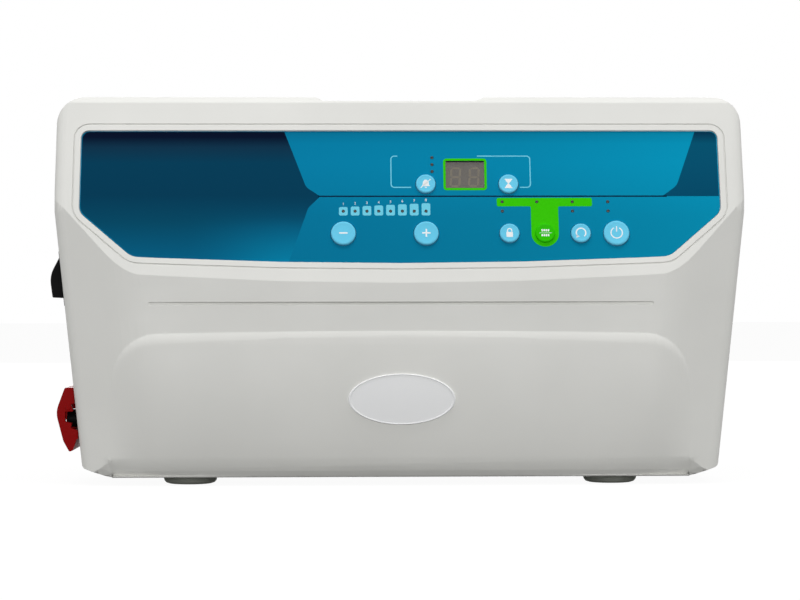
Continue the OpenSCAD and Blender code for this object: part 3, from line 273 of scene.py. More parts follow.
def boardGreen(name):  # solder mask over a grid of tracks
    finish = Finish(name)
    tracks = finish.add("ShaderNodeTexBrick", {"offset": 0.5}, {
        "Vector": finish.place(), "Scale": 210, "Mortar Size": 0.03,
        "Color1": (0, 0, 0, 1), "Color2": (0, 0, 0, 1), "Mortar": (1, 1, 1, 1),
    })
    tone = finish.mix(tracks, full(rgb(18, 78, 44)), full(rgb(34, 112, 66)))
    rough = finish.fade(finish.noise(60), 0.3, 0.7, 0.25, 0.4)
    return finish.surface({"Base Color": tone, "Roughness": rough})


def foam(name):
    finish = Finish(name)
    pores = finish.add("ShaderNodeTexVoronoi", {"feature": "F1"}, {"Vector": finish.place(), "Scale": 900})
    tone = finish.mix(pores, full(rgb(22, 22, 24)), full(rgb(84, 84, 88)))
    return finish.surface({"Base Color": tone, "Roughness": 0.95, "Normal": finish.bump(pores, 1.0, 0.0004)})


def silicone(name):
    finish = Finish(name)
    haze = finish.fade(finish.noise(120, 3), 0.3, 0.7)
    tone = finish.mix(haze, full(rgb(206, 214, 214)), full(rgb(226, 232, 232)))
    return finish.surface({
        "Base Color": tone, "Roughness": finish.fade(haze, 0, 1, 0.3, 0.42),
        "Subsurface Weight": 0.15, "Subsurface Radius": (0.002, 0.002, 0.002),
    })


def ink(name, colour, rough=0.45, gloss=0.04, shade=3):  # screen print
    finish = Finish(name)
    grain = finish.fade(finish.noise(900, 2), 0.35, 0.65)
    tone = finish.mix(grain, full(rgb(*[max(0, c - shade) for c in colour])), full(rgb(*colour)))
    return finish.surface({
        "Base Color": tone, "Roughness": finish.fade(grain, 0, 1, rough - 0.05, rough + 0.05),
        "Specular IOR Level": gloss,
    })


finishes = {
    "housing": moulded("offWhiteAbs", (233, 233, 229), 0.5, 0.3, edge=0.0005, gloss=0.35),
    "window": moulded("smokedWindow", (150, 146, 140), 0.15, 0.0),
    "footRubber": moulded("footRubber", (150, 153, 145), 0.75, 0.6, gloss=0.1),
    "board": boardGreen("boardGreen"),
    "black": moulded("blackNylon", (15, 15, 16), 0.45, 0.35, gloss=0.04),
    "rubber": moulded("blackRubber", (30, 30, 30), 0.8, 0.5, gloss=0.05),
    "lamp": moulded("lampLens", (150, 140, 110), 0.2, 0.0),
    "displayBody": moulded("displayBody", (126, 122, 116), 0.35, 0.1),
    "red": moulded("latchRed", (146, 2, 5), 0.35, 0.2, gloss=0.05),
    "grey": moulded("hookGrey", (176, 178, 178), 0.45, 0.4),
    "acetal": moulded("naturalAcetal", (224, 216, 194), 0.4, 0.1),
    "orange": moulded("orangeAcetal", (206, 110, 34), 0.4, 0.1),
    "component": moulded("component", (38, 40, 52), 0.35, 0.1),
    "foam": foam("filterFoam"), "silicone": silicone("siliconeTube"),
    "cable": banded("flatCable", "X", 250, 0.0, (128, 128, 126), (178, 178, 174), (0.45, 0.6), 0.6, 0.0003),
    "copper": banded("windings", "Z", 420, 0.6, (98, 44, 18), (168, 92, 40), (0.25, 0.4), 0.5, 0.0002),
    "laminations": banded(
        "laminations", "Y", 320, 0.3, (64, 66, 72), (112, 114, 122), (0.38, 0.55), 0.5, 0.0001, 0.7),
    "steel": metal("zincSteel", (196, 196, 198)),
    "sheet": metal("platedSheet", (150, 154, 160), 0.4, (1, 12, 1)),
    "magnet": metal("nickelMagnet", (170, 168, 162), 0.28),
}
bySlot = {
    "housing_plastic": "housing", "cover_plastic": "housing", "foot_rubber": "footRubber", "window": "window",
    "circuit_board": "board", "latch_red": "red", "hook_plastic": "grey", "steel": "steel", "foam": "foam",
    "display_body": "displayBody", "lamp": "lamp", "component": "component", "laminations": "laminations",
    "copper": "copper", "cable": "cable", "black_rubber": "rubber", "sheet_steel": "sheet",
    "magnet_metal": "magnet", "valve_plastic": "acetal", "disc_plastic": "orange", "silicone": "silicone",
}
for name, node in nodes.items():
    node.data.materials.clear()
    node.data.materials.append(finishes[bySlot.get(slots[name], "black")])
print("stage: finishes")


# ---- pieces made from the CAD's own shapes, with smooth curves and sharp edges

def settled(held):  # the object's form with its modifiers taken in, as one plain mesh
    scene.collection.objects.link(held)
    bpy.context.view_layer.update()
    seen = held.evaluated_get(bpy.context.evaluated_depsgraph_get())
    mesh = bpy.data.meshes.new_from_object(seen)
    bpy.data.objects.remove(held)
    return mesh


def meshFrom(build, name, sharp=None):  # smooth between edges of that many degrees, or flat
    mesh = bpy.data.meshes.new(name)
    build.to_mesh(mesh)
    build.free()
    if sharp is not None:
        mesh.shade_smooth()
        mesh.set_sharp_from_angle(angle=math.radians(sharp))
    return mesh


def piece(name, mesh, materials, body="housing", stands=()):
    mesh.name = name
    mesh.materials.clear()
    for material in materials:
        mesh.materials.append(material)
    made = bpy.data.objects.new(name, mesh)
    scene.collection.objects.link(made)
    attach(made, body)
    if stands:
        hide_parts(*stands)


def rounded(points, steps=6):  # corners are (x, v, radius)
    made = []
    for i, (x, v, radius) in enumerate(points):
        here = Vector((x, v))
        back, ahead = [(Vector(points[j % len(points)][:2]) - here).normalized() for j in (i - 1, i + 1)]
        half = back.angle(ahead) / 2
        if radius <= 0 or half > math.radians(89.5):
            made.append((x, v))
            continue
        reach = radius / math.tan(half)
        centre = here + (back + ahead).normalized() * (radius / math.sin(half))
        first, last = here + back * reach - centre, here + ahead * reach - centre
        turn = first.angle_signed(last)
        for k in range(steps + 1):
            a = -turn * k / steps
            made.append((
                centre.x + first.x * math.cos(a) - first.y * math.sin(a),
                centre.y + first.x * math.sin(a) + first.y * math.cos(a),
            ))
    return made


def smoothCopy(name, node, sharp, reshape=None):
    build = bmesh.new()
    build.from_mesh(nodes[node].data)
    bmesh.ops.remove_doubles(build, verts=build.verts, dist=0.001 * mm)
    if reshape:
        reshape(build)
    else:  # flat faces made whole, so that they shade evenly
        flat = math.radians(0.5)
        bmesh.ops.dissolve_limit(build, angle_limit=flat, verts=build.verts, edges=build.edges)
    held = bpy.data.objects.new("held", meshFrom(build, name, sharp))
    weigh = held.modifiers.new("weigh", "WEIGHTED_NORMAL")
    weigh.keep_sharp = True
    piece(name, settled(held), [nodes[node].data.materials[0]], bodyOf[node], [node])


# the front in millimetres: its bowed plan as (x, y, corner radius), the part of it that is laid exactly
# on that plan, and the heights and the distances from the middle at which it is cut
front = {
    "plan": [(0, -61.4, 6700), (149, -58.6, 60), (182.8, -45.96)], "steps": 40,
    "kink": 144, "taper": math.tan(math.radians(6)), "deep": -50, "low": 42, "crease": 106, "near": 0.3,
    "levels": [*range(8, 66, 2), *range(66, 88), 90, 92.5, 97.5, 100, 103, 105],
    "across": [10, 30, 50, 70, 85, 95, 103, 110, 115, 119, 122, 125, 128, 131, 134, *range(136, 160, 2)],
}
# the bulge, 6 mm high in the solids, eased to a low swelling with a soft slope round it. Below its
# crown the face falls back like a drum's, in a curve that is taken at one x clear of the badge.
bulge = {
    "half": 156, "top": 87.4, "crown": 66, "low": 5, "deep": -45, "clear": 100, "full": 6, "eased": 1.2,
    "bow": 0.00168, "blend": 2.0, "blendOver": 50, "fade": 22, "wall": 151.9, "beyond": 152.2,
    "cornerCut": 14, "cornerRamp": 12,
}


def faceAt(tree, x, z):  # y of the front face
    return tree.ray_cast(Vector((x, -200, z)) * mm, Vector((0, 1, 0)))[0].y / mm


def bowedPlan():
    (x0, y0, wide), (x1, y1, narrow), (x2, y2) = front["plan"]
    corners = [(-x2, y2, 0), (-x1, y1, narrow), (x0, y0, wide), (x1, y1, narrow), (x2, y2, 0)]
    return sorted(p for p in rounded(corners, front["steps"]) if p[0] >= -0.01)


def planAt(curve, x):
    for (xa, ya), (xb, yb) in zip(curve, curve[1:]):
        if xa <= x <= xb and xb > xa:
            return ya + (yb - ya) * (x - xa) / (xb - xa)
    return curve[0][1] if x < 1 else curve[-1][1]


def taperedPlan(curve, x, z):
    return max(planAt(curve, x), planAt(curve, x + (front["kink"] - z) * front["taper"]))


def lowered(out):  # how far the bulge stands out once its slope is eased
    return bulge["eased"] * (1 - (1 - min(1, out / bulge["full"])) ** 2)


def cutFront(build):  # a net of points on the front, fine enough to bend
    cuts = [((0, 0, 1), z) for z in front["levels"]]
    cuts += [((1, 0, 0), side * x) for side in (-1, 1) for x in front["across"]]
    deep, crease = front["deep"] * mm, front["crease"] * mm
    for axis, spot in cuts:
        faces = [f for f in build.faces
                 if min(v.co.y for v in f.verts) < deep and min(v.co.z for v in f.verts) < crease]
        edges = {e for f in faces for e in f.edges}
        points = {v for f in faces for v in f.verts}
        bmesh.ops.bisect_plane(
            build, geom=[*faces, *edges, *points], dist=0.0001 * mm,
            plane_co=Vector(axis) * spot * mm, plane_no=axis,
        )
    bmesh.ops.triangulate(build, faces=build.faces)


def easedFace(tree, curve, x, z, stand):  # y of the flat front and of the eased bulge on it
    side = abs(x)
    flat = taperedPlan(curve, side, z)
    ramp = side - bulge["wall"] + bulge["cornerRamp"]
    if z < bulge["cornerCut"] and ramp > 0:
        beyond = bulge["beyond"]
        cut = faceAt(tree, math.copysign(beyond, x), z) - taperedPlan(curve, beyond, z)
        flat += max(0.0, cut) * min(1.0, ramp / bulge["cornerRamp"])
    height = lowered(max(0.0, flat - stand))
    under = bulge["crown"] - z
    if under > 0:
        level = planAt(curve, bulge["clear"])
        old = faceAt(tree, bulge["clear"], z)
        drum = level - bulge["eased"] + bulge["bow"] * under ** 2 - old
        drum = (drum + math.hypot(drum, bulge["blend"] * min(1, under / bulge["blendOver"]))) / 2
        height = min(height, level - old - drum)
    near = min(1.0, (bulge["half"] - side) / bulge["fade"])
    return flat, max(stand, flat - height * near * near * (3 - 2 * near))


def easeBulge(build):
    tree = BVHTree.FromBMesh(build)
    curve = bowedPlan()
    cutFront(build)
    places = []
    for vertex in build.verts:
        x, y, z = vertex.co / mm
        new = y
        if y < front["deep"] and front["low"] < z < front["crease"]:
            exact = taperedPlan(curve, abs(x), z)
            if abs(exact - y) < front["near"]:
                new = exact
        if y < bulge["deep"] and abs(x) < bulge["half"] and bulge["low"] < z < bulge["top"]:
            stand = faceAt(tree, x, z)
            flat, eased = easedFace(tree, curve, x, z, stand)
            new = eased if abs(x) > bulge["wall"] and y < flat + 1 else y + eased - stand
        places.append(new)
    for vertex, y in zip(build.verts, places):
        vertex.co.y = y * mm
    bmesh.ops.remove_doubles(build, verts=build.verts, dist=0.002 * mm)


smoothed = {  # node: the piece's name and the angle from which an edge stays sharp
    "front_housing": ("housing_front", 12), "rear_cover": ("housing_rear", 12),
    "rubber_feet": ("feet", 26), "switch_rocker": ("rocker", 26), "switch_frame": ("rocker_frame", 26),
    "port_block": ("hose_ports", 26), "release_latch": ("latch", 26), "left_hook": ("bed_hook_left", 26),
    "right_hook": ("bed_hook_right", 26), "filter_cover": ("filter_lid", 26),
    "power_inlet": ("mains_inlet", 26), "fuse_holders": ("fuse_sockets", 26),
    "fuse_caps": ("fuse_lids", 26), "valve_cover": ("valve_lid", 26), "left_head_tube": ("tube_left", 40),
    "right_head_tube": ("tube_right", 40), "port_tubes": ("tubes_to_ports", 40),
}
for node, (name, sharp) in smoothed.items():
    smoothCopy(name, node, sharp, easeBulge if node == "front_housing" else None)
print("stage: shells and moving parts")


# ---- the panel's own frame: x across, v up the slope from the crease and w out of it, in millimetres

lean = math.radians(17)
panelOrigin = (0.0, -60.0, 107.0)


def onPanel(x, v, w):
    y = panelOrigin[1] + v * math.sin(lean) - w * math.cos(lean)
    z = panelOrigin[2] + v * math.cos(lean) + w * math.sin(lean)
    return Vector((x, y, z)) * mm


def panelPlace(point):  # back from the shared frame
    y, z = point.y / mm - panelOrigin[1], point.z / mm - panelOrigin[2]
    v = y * math.sin(lean) + z * math.cos(lean)
    return point.x / mm, v, z * math.sin(lean) - y * math.cos(lean)


def nodeCentre(node):  # its middle across and up the panel, and its top
    places = [panelPlace(v.co) for v in nodes[node].data.vertices]
    low, high = [[pick(p[i] for p in places) for i in range(3)] for pick in (min, max)]
    return (low[0] + high[0]) / 2, (low[1] + high[1]) / 2, high[2]


def circle(x, v, radius, steps, start=0.0, sweep=360.0):  # or an arc of it, with both its ends
    count = steps if abs(sweep) >= 360 else steps + 1
    angles = [math.radians(start + sweep * i / steps) for i in range(count)]
    return [(x + radius * math.cos(a), v + radius * math.sin(a)) for a in angles]


def box(x0, v0, x1, v1, radius):
    return rounded([(x0, v0, radius), (x1, v0, radius), (x1, v1, radius), (x0, v1, radius)])


def stroke(path, width):  # a band along a path, with mitred corners
    points = [Vector(p) for p in path]
    left, right = [], []
    for i, here in enumerate(points):
        before = (here - points[i - 1]).normalized() if i else None
        after = (points[i + 1] - here).normalized() if i < len(points) - 1 else None
        along = ((before or after) + (after or before)).normalized()
        across = Vector((-along.y, along.x))
        cosine = max(0.3, along.dot(after or before))
        step = across * (width / 2 / cosine)
        left.append(tuple(here + step))
        right.append(tuple(here - step))
    return right + left[::-1]


def printed(name, shapes, low, thick, material, body="housing"):
    # closed flat prisms: a shape is an outline, or a list of an outline and its holes
    build = bmesh.new()
    for shape in shapes:
        loops = shape if isinstance(shape[0], list) else [shape]
        flat = [Vector((*p, 0)) for loop in loops for p in loop]
        bottom = [build.verts.new(onPanel(p.x, p.y, low)) for p in flat]
        top = [build.verts.new(onPanel(p.x, p.y, low + thick)) for p in flat]
        for a, b, c in tessellate_polygon([[Vector((*p, 0)) for p in loop] for loop in loops]):
            build.faces.new((top[a], top[b], top[c]))
            build.faces.new((bottom[c], bottom[b], bottom[a]))
        start = 0
        for loop in loops:
            for i in range(len(loop)):
                a, b = start + i, start + (i + 1) % len(loop)
                build.faces.new((bottom[a], bottom[b], top[b], top[a]))
            start += len(loop)
    bmesh.ops.recalc_face_normals(build, faces=build.faces)
    piece(name, meshFrom(build, name), [material], body)


def lofted(name, rings, sharp, second=()):
    # a closed skin over rings of points, where a tip is a ring of one point;
    # the faces that end at the rings in second get the second material
    build = bmesh.new()
    steps = max(len(ring) for ring in rings)
    before = None
    for k, places in enumerate(rings):
        ring = [build.verts.new(place) for place in places] * (steps // len(places))
        for i in range(steps if before else 0):
            j = (i + 1) % steps
            corners = dict.fromkeys((before[i], before[j], ring[j], ring[i]))
            build.faces.new(list(corners)).material_index = 1 if k in second else 0
        before = ring
    bmesh.ops.recalc_face_normals(build, faces=build.faces)
    return meshFrom(build, name, sharp)


# ---- overlay film and its print

film = {
    "face": -0.6, "ink": 0.03, "rough": (0.42, 0.5), "gloss": 0.03,
    "across": [(-60, rgb(0, 129, 171)), (60, rgb(0, 138, 178)), (165, rgb(0, 153, 193))],
    "light": [(10, 0.80), (36, 0.84), (52, 0.94), (66, 1.0), (77, 0.97), (85, 0.73)],
}
navy = {
    "edge": 168.6, "top": 83.6, "tip": 47.3, "line": (-43.5, 141, 0.75),
    "left": [
        (10, rgb(0, 98, 136)), (33, rgb(0, 73, 102)), (48, rgb(0, 60, 88)), (66, rgb(0, 62, 90)),
        (75, rgb(10, 50, 75)), (80.5, rgb(0, 14, 40)), (84, rgb(0, 8, 34)),
    ],
    "light": [
        (10, rgb(0, 132, 172)), (20, rgb(0, 117, 155)), (28, rgb(0, 99, 135)), (36, rgb(0, 79, 112)),
        (48, rgb(0, 56, 86)),
    ],
    "right": [(45, rgb(0, 74, 105)), (66, rgb(0, 82, 113)), (77, rgb(0, 84, 114)), (84, rgb(0, 44, 72))],
    "slant": 0.3, "lightFrom": (-110, -45), "lightBelow": (47, 30), "rightFrom": (100, 110),
}


def panelUp(finish):  # height up the slope, in millimetres
    y = finish.axis(1) / mm - panelOrigin[1]
    z = finish.axis(2) / mm - panelOrigin[2]
    return y * math.sin(lean) + z * math.cos(lean)


def filmRough(finish):
    return finish.fade(finish.noise(300, 2), 0.3, 0.7, *film["rough"])


def filmFinish():
    finish = Finish("panelFilm")
    across = finish.ramp(finish.axis(0) / mm, film["across"])
    light = finish.ramp(panelUp(finish), [(up, (share,) * 3) for up, share in film["light"]])
    return finish.surface({
        "Base Color": finish.mix(1.0, across, light, "MULTIPLY"),
        "Roughness": filmRough(finish), "Specular IOR Level": film["gloss"],
        "Normal": finish.bump(finish.noise(2200, 2), 0.05, 0.00003, finish.softEdge(0.0002)),
    })


def navyFinish():
    finish = Finish("navyInk")
    up = panelUp(finish)
    across = finish.axis(0) / mm
    left, light, right = [finish.ramp(up, navy[zone]) for zone in ("left", "light", "right")]
    middle = finish.fade(across + up * navy["slant"], *navy["lightFrom"], smooth=True)
    tone = finish.mix(middle * finish.fade(up, *navy["lightBelow"]), left, light)
    tone = finish.mix(finish.fade(across, *navy["rightFrom"]), tone, right)
    return finish.surface({
        "Base Color": tone, "Roughness": filmRough(finish), "Specular IOR Level": film["gloss"],
    })


inks = {
    "navy": navyFinish(), "line": ink("navyLine", (0, 36, 62)), "white": ink("whiteInk", (246, 250, 252)),
    "cyan": ink("cyanInk", (118, 214, 238)), "lime": ink("limeInk", (58, 204, 2)),
    # the dark ink only paints the shadow along the display window's top edge
    "dark": ink("darkInk", (14, 22, 30)),
}
nodes["panel_overlay"].data.materials[0] = filmFinish()

# rows of lamps over the lower row of keys, and the scale of eight between two of them
keyNames = ["mute", "cycle", "soft", "firm", "lock", "mode", "auto", "power"]
keyAt = {name: nodeCentre(name + "_key") for name in keyNames}
windowX, windowV = nodeCentre("display_window")[:2]
rows = {"lamps": 12.5, "state": 5.2}
upperRow, rowUp = keyAt["mute"][1], keyAt["soft"][1]
lampRow = rowUp + rows["lamps"]
stateRow = lampRow + rows["state"]
scale = {
    "count": 8, "half": 2.3, "low": 2.4, "high": 2.3, "rise": 0.3, "radius": 0.9,
    "figure": 2.0, "figureUp": 1.7,
}
scaleStep = (keyAt["firm"][0] - keyAt["soft"][0]) / (scale["count"] - 1)
scaleAt = [keyAt["soft"][0] + i * scaleStep for i in range(scale["count"])]


def navyZones():
    edge, top, tip = navy["edge"], navy["top"], navy["tip"]
    leftZone = rounded([
        (-edge, top, 4), (-edge, 39, 8), (-141, 14.4, 10), (-100, 11.2, 0), (-59.6, 9.1, 0),
        (-48.8, 41.0, 6), (-42.5, tip, 0), (-50.0, 52.4, 6), (-61.6, top, 0),
    ])
    rightZone = rounded([
        (146.4, 53.2, 8), (157.2, top, 0), (edge, top, 3.6), (edge, tip, 0), (138.5, tip, 0),
    ])
    return [leftZone, rightZone]


def navyLine():
    start, end, width = navy["line"]
    return stroke([(start, navy["tip"]), (end, navy["tip"])], width)


lime = {
    "stem": 7.3, "left": 25.2, "right": 25.3, "down": 2.6, "up": 2.2, "corner": 1, "foot": 0.8,
    "window": (10.3, 7.7, 0.5), "ring": 1.25, "layers": 1.5,
}


def limeShape():  # a bar with a stem that ends in a half circle round the mode key
    x, stem, corner, foot = keyAt["mode"][0], lime["stem"], lime["corner"], lime["foot"]
    left, right = x - lime["left"], x + lime["right"]
    low, high = stateRow - lime["down"], stateRow + lime["up"]
    corners = rounded([
        (x + stem, low, foot), (right, low, corner), (right, high, corner), (left, high, corner),
        (left, low, corner), (x - stem, low, foot), (x - stem, rowUp, 0), (x + stem, rowUp, 0),
    ])
    return corners[:-2] + circle(x, rowUp, stem, 20, 180, 180)


def frameRing():  # round the display window
    halfX, halfV, radius = lime["window"]
    def ring(out):
        a, b = halfX + out, halfV + out
        return box(windowX - a, windowV - b, windowX + a, windowV + b, radius + out)
    return [ring(lime["ring"]), ring(0)[::-1]]


bracket = {
    "down": 1.7, "up": 10.3, "bend": 1.8, "width": 0.55,
    "left": 39.2, "leftEnds": (10.6, 3.4), "right": 34.6, "rightEnds": (6.5, 5.6),
}


def bracketLines():  # thin lines that join the display to the two keys beside it
    bend = bracket["bend"]
    low, high = upperRow - bracket["down"], windowV + bracket["up"]
    left, right = windowX - bracket["left"], windowX + bracket["right"]
    def corner(x, v, start):
        return circle(x, v, bend, 6, start, -90)
    leftLine = [
        (left + bracket["leftEnds"][0], low), *corner(left + bend, low + bend, 270),
        *corner(left + bend, high - bend, 180), (left + bracket["leftEnds"][1], high),
    ]
    rightLine = [
        (windowX + bracket["rightEnds"][0], high), *corner(right - bend, high - bend, 90),
        *corner(right - bend, low + bend, 0), (right - bracket["rightEnds"][1], low),
    ]
    return [stroke(line, bracket["width"]) for line in (leftLine, rightLine)]


def scaleTop(i):
    return lampRow + scale["high"] + scale["rise"] * i


def scaleSquares():
    half, low = scale["half"], lampRow - scale["low"]
    return [box(x - half, low, x + half, scaleTop(i), scale["radius"]) for i, x in enumerate(scaleAt)]


def figures(name, marks, size, material, low, thick):
    # plain figures from Blender's own font; marks are (text, x, v)
    build = bmesh.new()
    for text, x, v in marks:
        curve = bpy.data.curves.new(name, "FONT")
        curve.body, curve.size, curve.align_x, curve.align_y = text, size, "CENTER", "CENTER"
        curve.extrude, curve.resolution_u = 0.5, 3
        mesh = settled(bpy.data.objects.new("held", curve))
        for vertex in mesh.vertices:
            a, b, c = vertex.co
            vertex.co = onPanel(x + a, v + b, low + (thick if c > 0 else 0))
        build.from_mesh(mesh)
    bmesh.ops.remove_doubles(build, verts=build.verts, dist=0.0001 * mm)
    bmesh.ops.recalc_face_normals(build, faces=build.faces)
    piece(name, meshFrom(build, name), [material])


printed("navy_zones", navyZones(), film["face"], film["ink"], inks["navy"])
printed("navy_line", [navyLine()], film["face"], film["ink"], inks["line"])
printed("lime_zone", [limeShape(), frameRing()], film["face"], film["ink"] * lime["layers"], inks["lime"])
printed("bracket_lines", bracketLines(), film["face"], film["ink"], inks["cyan"])
printed("scale_squares", scaleSquares(), film["face"], film["ink"], inks["cyan"])
marks = [(str(i + 1), x, scaleTop(i) + scale["figureUp"]) for i, x in enumerate(scaleAt)]
figures("scale_figures", marks, scale["figure"], inks["white"], film["face"], film["ink"])
print("stage: overlay print")


# ---- lamp windows, one low dome repeated by Geometry Nodes

lampLens = {
    "radius": 0.88, "rise": 0.22, "steps": 20, "rings": 4, "alarm": (3.5, 7.2, 3.9),
    "before": {"lock": 3.5, "mode": 4.0, "auto": 4.0, "power": 4.0},
}


def dome():
    radius, rise, steps = lampLens["radius"] * mm, lampLens["rise"] * mm, lampLens["steps"]
    rings = [[(0, 0, rise)]]
    for k in range(1, lampLens["rings"] + 1):
        a = math.radians(90 * k / lampLens["rings"])
        rings.append([(x, y, rise * math.cos(a)) for x, y in circle(0, 0, radius * math.sin(a), steps)])
    return lofted("dome", [*rings, [(0, 0, 0)]], 180)


def repeated(name, spots, unit, turn, material):
    group = bpy.data.node_groups.new("repeatUnit", "GeometryNodeTree")
    inputs = {"Geometry": "Geometry", "Unit": "Object", "Turn": "Vector", "Material": "Material"}
    for label, kind in inputs.items():
        group.interface.new_socket(label, in_out="INPUT", socket_type="NodeSocket" + kind)
    group.interface.new_socket("Geometry", in_out="OUTPUT", socket_type="NodeSocketGeometry")
    start, end, toPoints, info, spread, real, paint = [group.nodes.new(kind) for kind in (
        "NodeGroupInput", "NodeGroupOutput", "GeometryNodeMeshToPoints", "GeometryNodeObjectInfo",
        "GeometryNodeInstanceOnPoints", "GeometryNodeRealizeInstances", "GeometryNodeSetMaterial",
    )]
    for source, output, target, into in (
        (start, "Geometry", toPoints, "Mesh"), (start, "Unit", info, "Object"),
        (toPoints, "Points", spread, "Points"), (info, "Geometry", spread, "Instance"),
        (start, "Turn", spread, "Rotation"), (spread, "Instances", real, "Geometry"),
        (real, "Geometry", paint, "Geometry"), (start, "Material", paint, "Material"),
        (paint, "Geometry", end, "Geometry"),
    ):
        group.links.new(source.outputs[output], target.inputs[into])
    points = bpy.data.meshes.new(name)
    points.from_pydata([tuple(spot) for spot in spots], [], [])
    held = bpy.data.objects.new("held", points)
    unitHeld = bpy.data.objects.new("unit", unit)
    scene.collection.objects.link(unitHeld)
    repeat = held.modifiers.new("repeat", "NODES")
    repeat.node_group = group
    names = {item.name: item.identifier for item in group.interface.items_tree if item.in_out == "INPUT"}
    repeat[names["Unit"]], repeat[names["Turn"]], repeat[names["Material"]] = unitHeld, turn, material
    mesh = settled(held)
    bpy.data.objects.remove(unitHeld)
    piece(name, mesh, [material])


def lampSpots():
    across, up, step = lampLens["alarm"]
    alarm = [(keyAt["mute"][0] + across, upperRow + up + i * step) for i in range(3)]
    beside = {key: keyAt[key][0] - before for key, before in lampLens["before"].items()}
    state = [(x, stateRow) for x in beside.values()]
    lower = [(x, lampRow) for key, x in beside.items() if key != "mode"]
    spots = [(x, lampRow) for x in scaleAt] + alarm + state + lower
    return [onPanel(x, v, film["face"] + film["ink"]) for x, v in spots]


lensFinish = moulded("smokedLens", (24, 26, 26), 0.2, 0.0)
repeated("lamp_lenses", lampSpots(), dome(), (math.pi / 2 - lean, 0, 0), lensFinish)
print("stage: lamp lenses")


# ---- keys: a dished cap with a raised rim, on the CAD key's own flange and stem

keyForm = {
    "steps": 48, "sharp": 40, "rimRings": range(3, 9), "dish": 0.12, "icon": 0.03, "iconSunk": 0.01,
    "skirt": 2, "near": 0.1,
    # share of the radius and depth below the top, and then the depth of the rounding
    "cap": [(0.0, 0.12), (0.5, 0.12), (0.74, 0.108), (0.80, 0.03), (0.85, 0.0), (0.90, 0.04)], "round": 0.75,
}


def keyCap(name, cap, rim):
    x, v, top = keyAt[name]
    node = name + "_key"
    places = [panelPlace(p.co) for p in nodes[node].data.vertices]
    radii = [(math.hypot(a - x, b - v), c) for a, b, c in places]
    near = keyForm["near"]
    radius = max(r for r, c in radii if c > top - keyForm["skirt"])
    flange = max(r for r, c in radii)
    flangeLevels = [c for r, c in radii if r > flange - near]
    flangeTop, flangeLow = max(flangeLevels), min(flangeLevels)
    stemEnd = min(c for r, c in radii)
    stem = max(r for r, c in radii if c < stemEnd + near)
    profile = [(radius * share, top - down) for share, down in keyForm["cap"]]
    edge, low = profile[-1]
    for turn in (30, 60, 90):
        a = math.radians(turn)
        r, w = edge + (radius - edge) * math.sin(a), low - keyForm["round"] * (1 - math.cos(a))
        profile.append((r, w))
    profile += [(radius, flangeTop), (flange, flangeTop), (flange, flangeLow), (stem, flangeLow)]
    profile += [(stem, stemEnd), (0, stemEnd)]
    rings = []
    for r, w in profile:
        rings.append([onPanel(a, b, w) for a, b in circle(x, v, r, keyForm["steps"] if r else 1)])
    mesh = lofted(name + "_cap", rings, keyForm["sharp"], keyForm["rimRings"])
    piece(name + "_cap", mesh, [cap, rim], node, [node])


# signs on the keys: slabs are (x0, v0, x1, v1, corner radius) and arcs (v, radius, steps, start, sweep)
iconForm = {
    "minus": (-2.2, -0.4, 2.2, 0.4, 0.1),
    "plus": [
        (-2.2, -0.4), (-0.4, -0.4), (-0.4, -2.2), (0.4, -2.2), (0.4, -0.4), (2.2, -0.4),
        (2.2, 0.4), (0.4, 0.4), (0.4, 2.2), (-0.4, 2.2), (-0.4, 0.4), (-2.2, 0.4),
    ],
    "bell": [
        (-2.3, -1.5), (2.3, -1.5), (1.7, -0.7), (1.5, 0.9), (0.8, 1.9),
        (0.3, 2.2), (-0.3, 2.2), (-0.8, 1.9), (-1.5, 0.9), (-1.7, -0.7),
    ],
    "clapper": (-1.9, 0.55, 12, 180, 180), "slash": [(-2.7, -2.4), (2.6, 2.5)], "slashWidth": 0.45,
    "hourglass": [
        (-2, 2.6), (-2, 2.1), (-1.5, 2.1), (-1.5, 1.5), (-0.3, 0.1),
        (-0.3, -0.1), (-1.5, -1.5), (-1.5, -2.1), (-2, -2.1), (-2, -2.6),
        (2, -2.6), (2, -2.1), (1.5, -2.1), (1.5, -1.5), (0.3, -0.1),
        (0.3, 0.1), (1.5, 1.5), (1.5, 2.1), (2, 2.1), (2, 2.6),
    ],
    "lockBody": (-1.7, -2.3, 1.7, 0.5, 0.3), "bow": (1.2, 1.15, 10, 180, -180), "bowFoot": 0.4,
    "bowWidth": 0.55,
    "cell": (-0.42, 0.0, 0.42, 1.3, 0.35), "cellStep": 1.1, "cellRows": (0.7, -2.0),
    "cellLine": (-3.2, -0.15, 3.2, 0.05, 0.0), "ring": (4.75, 4.4, 40),
    "turn": (0.0, 2.5, 28, -50, 280), "turnWidth": 0.7, "arrow": [(0.9, -0.1), (-0.7, 1.0), (-0.9, -0.9)],
    "powerArc": (0.0, 3.0, 30, 62, -304), "powerWidth": 0.6, "powerBar": (-0.3, 0.6, 0.3, 3.6, 0.1),
}


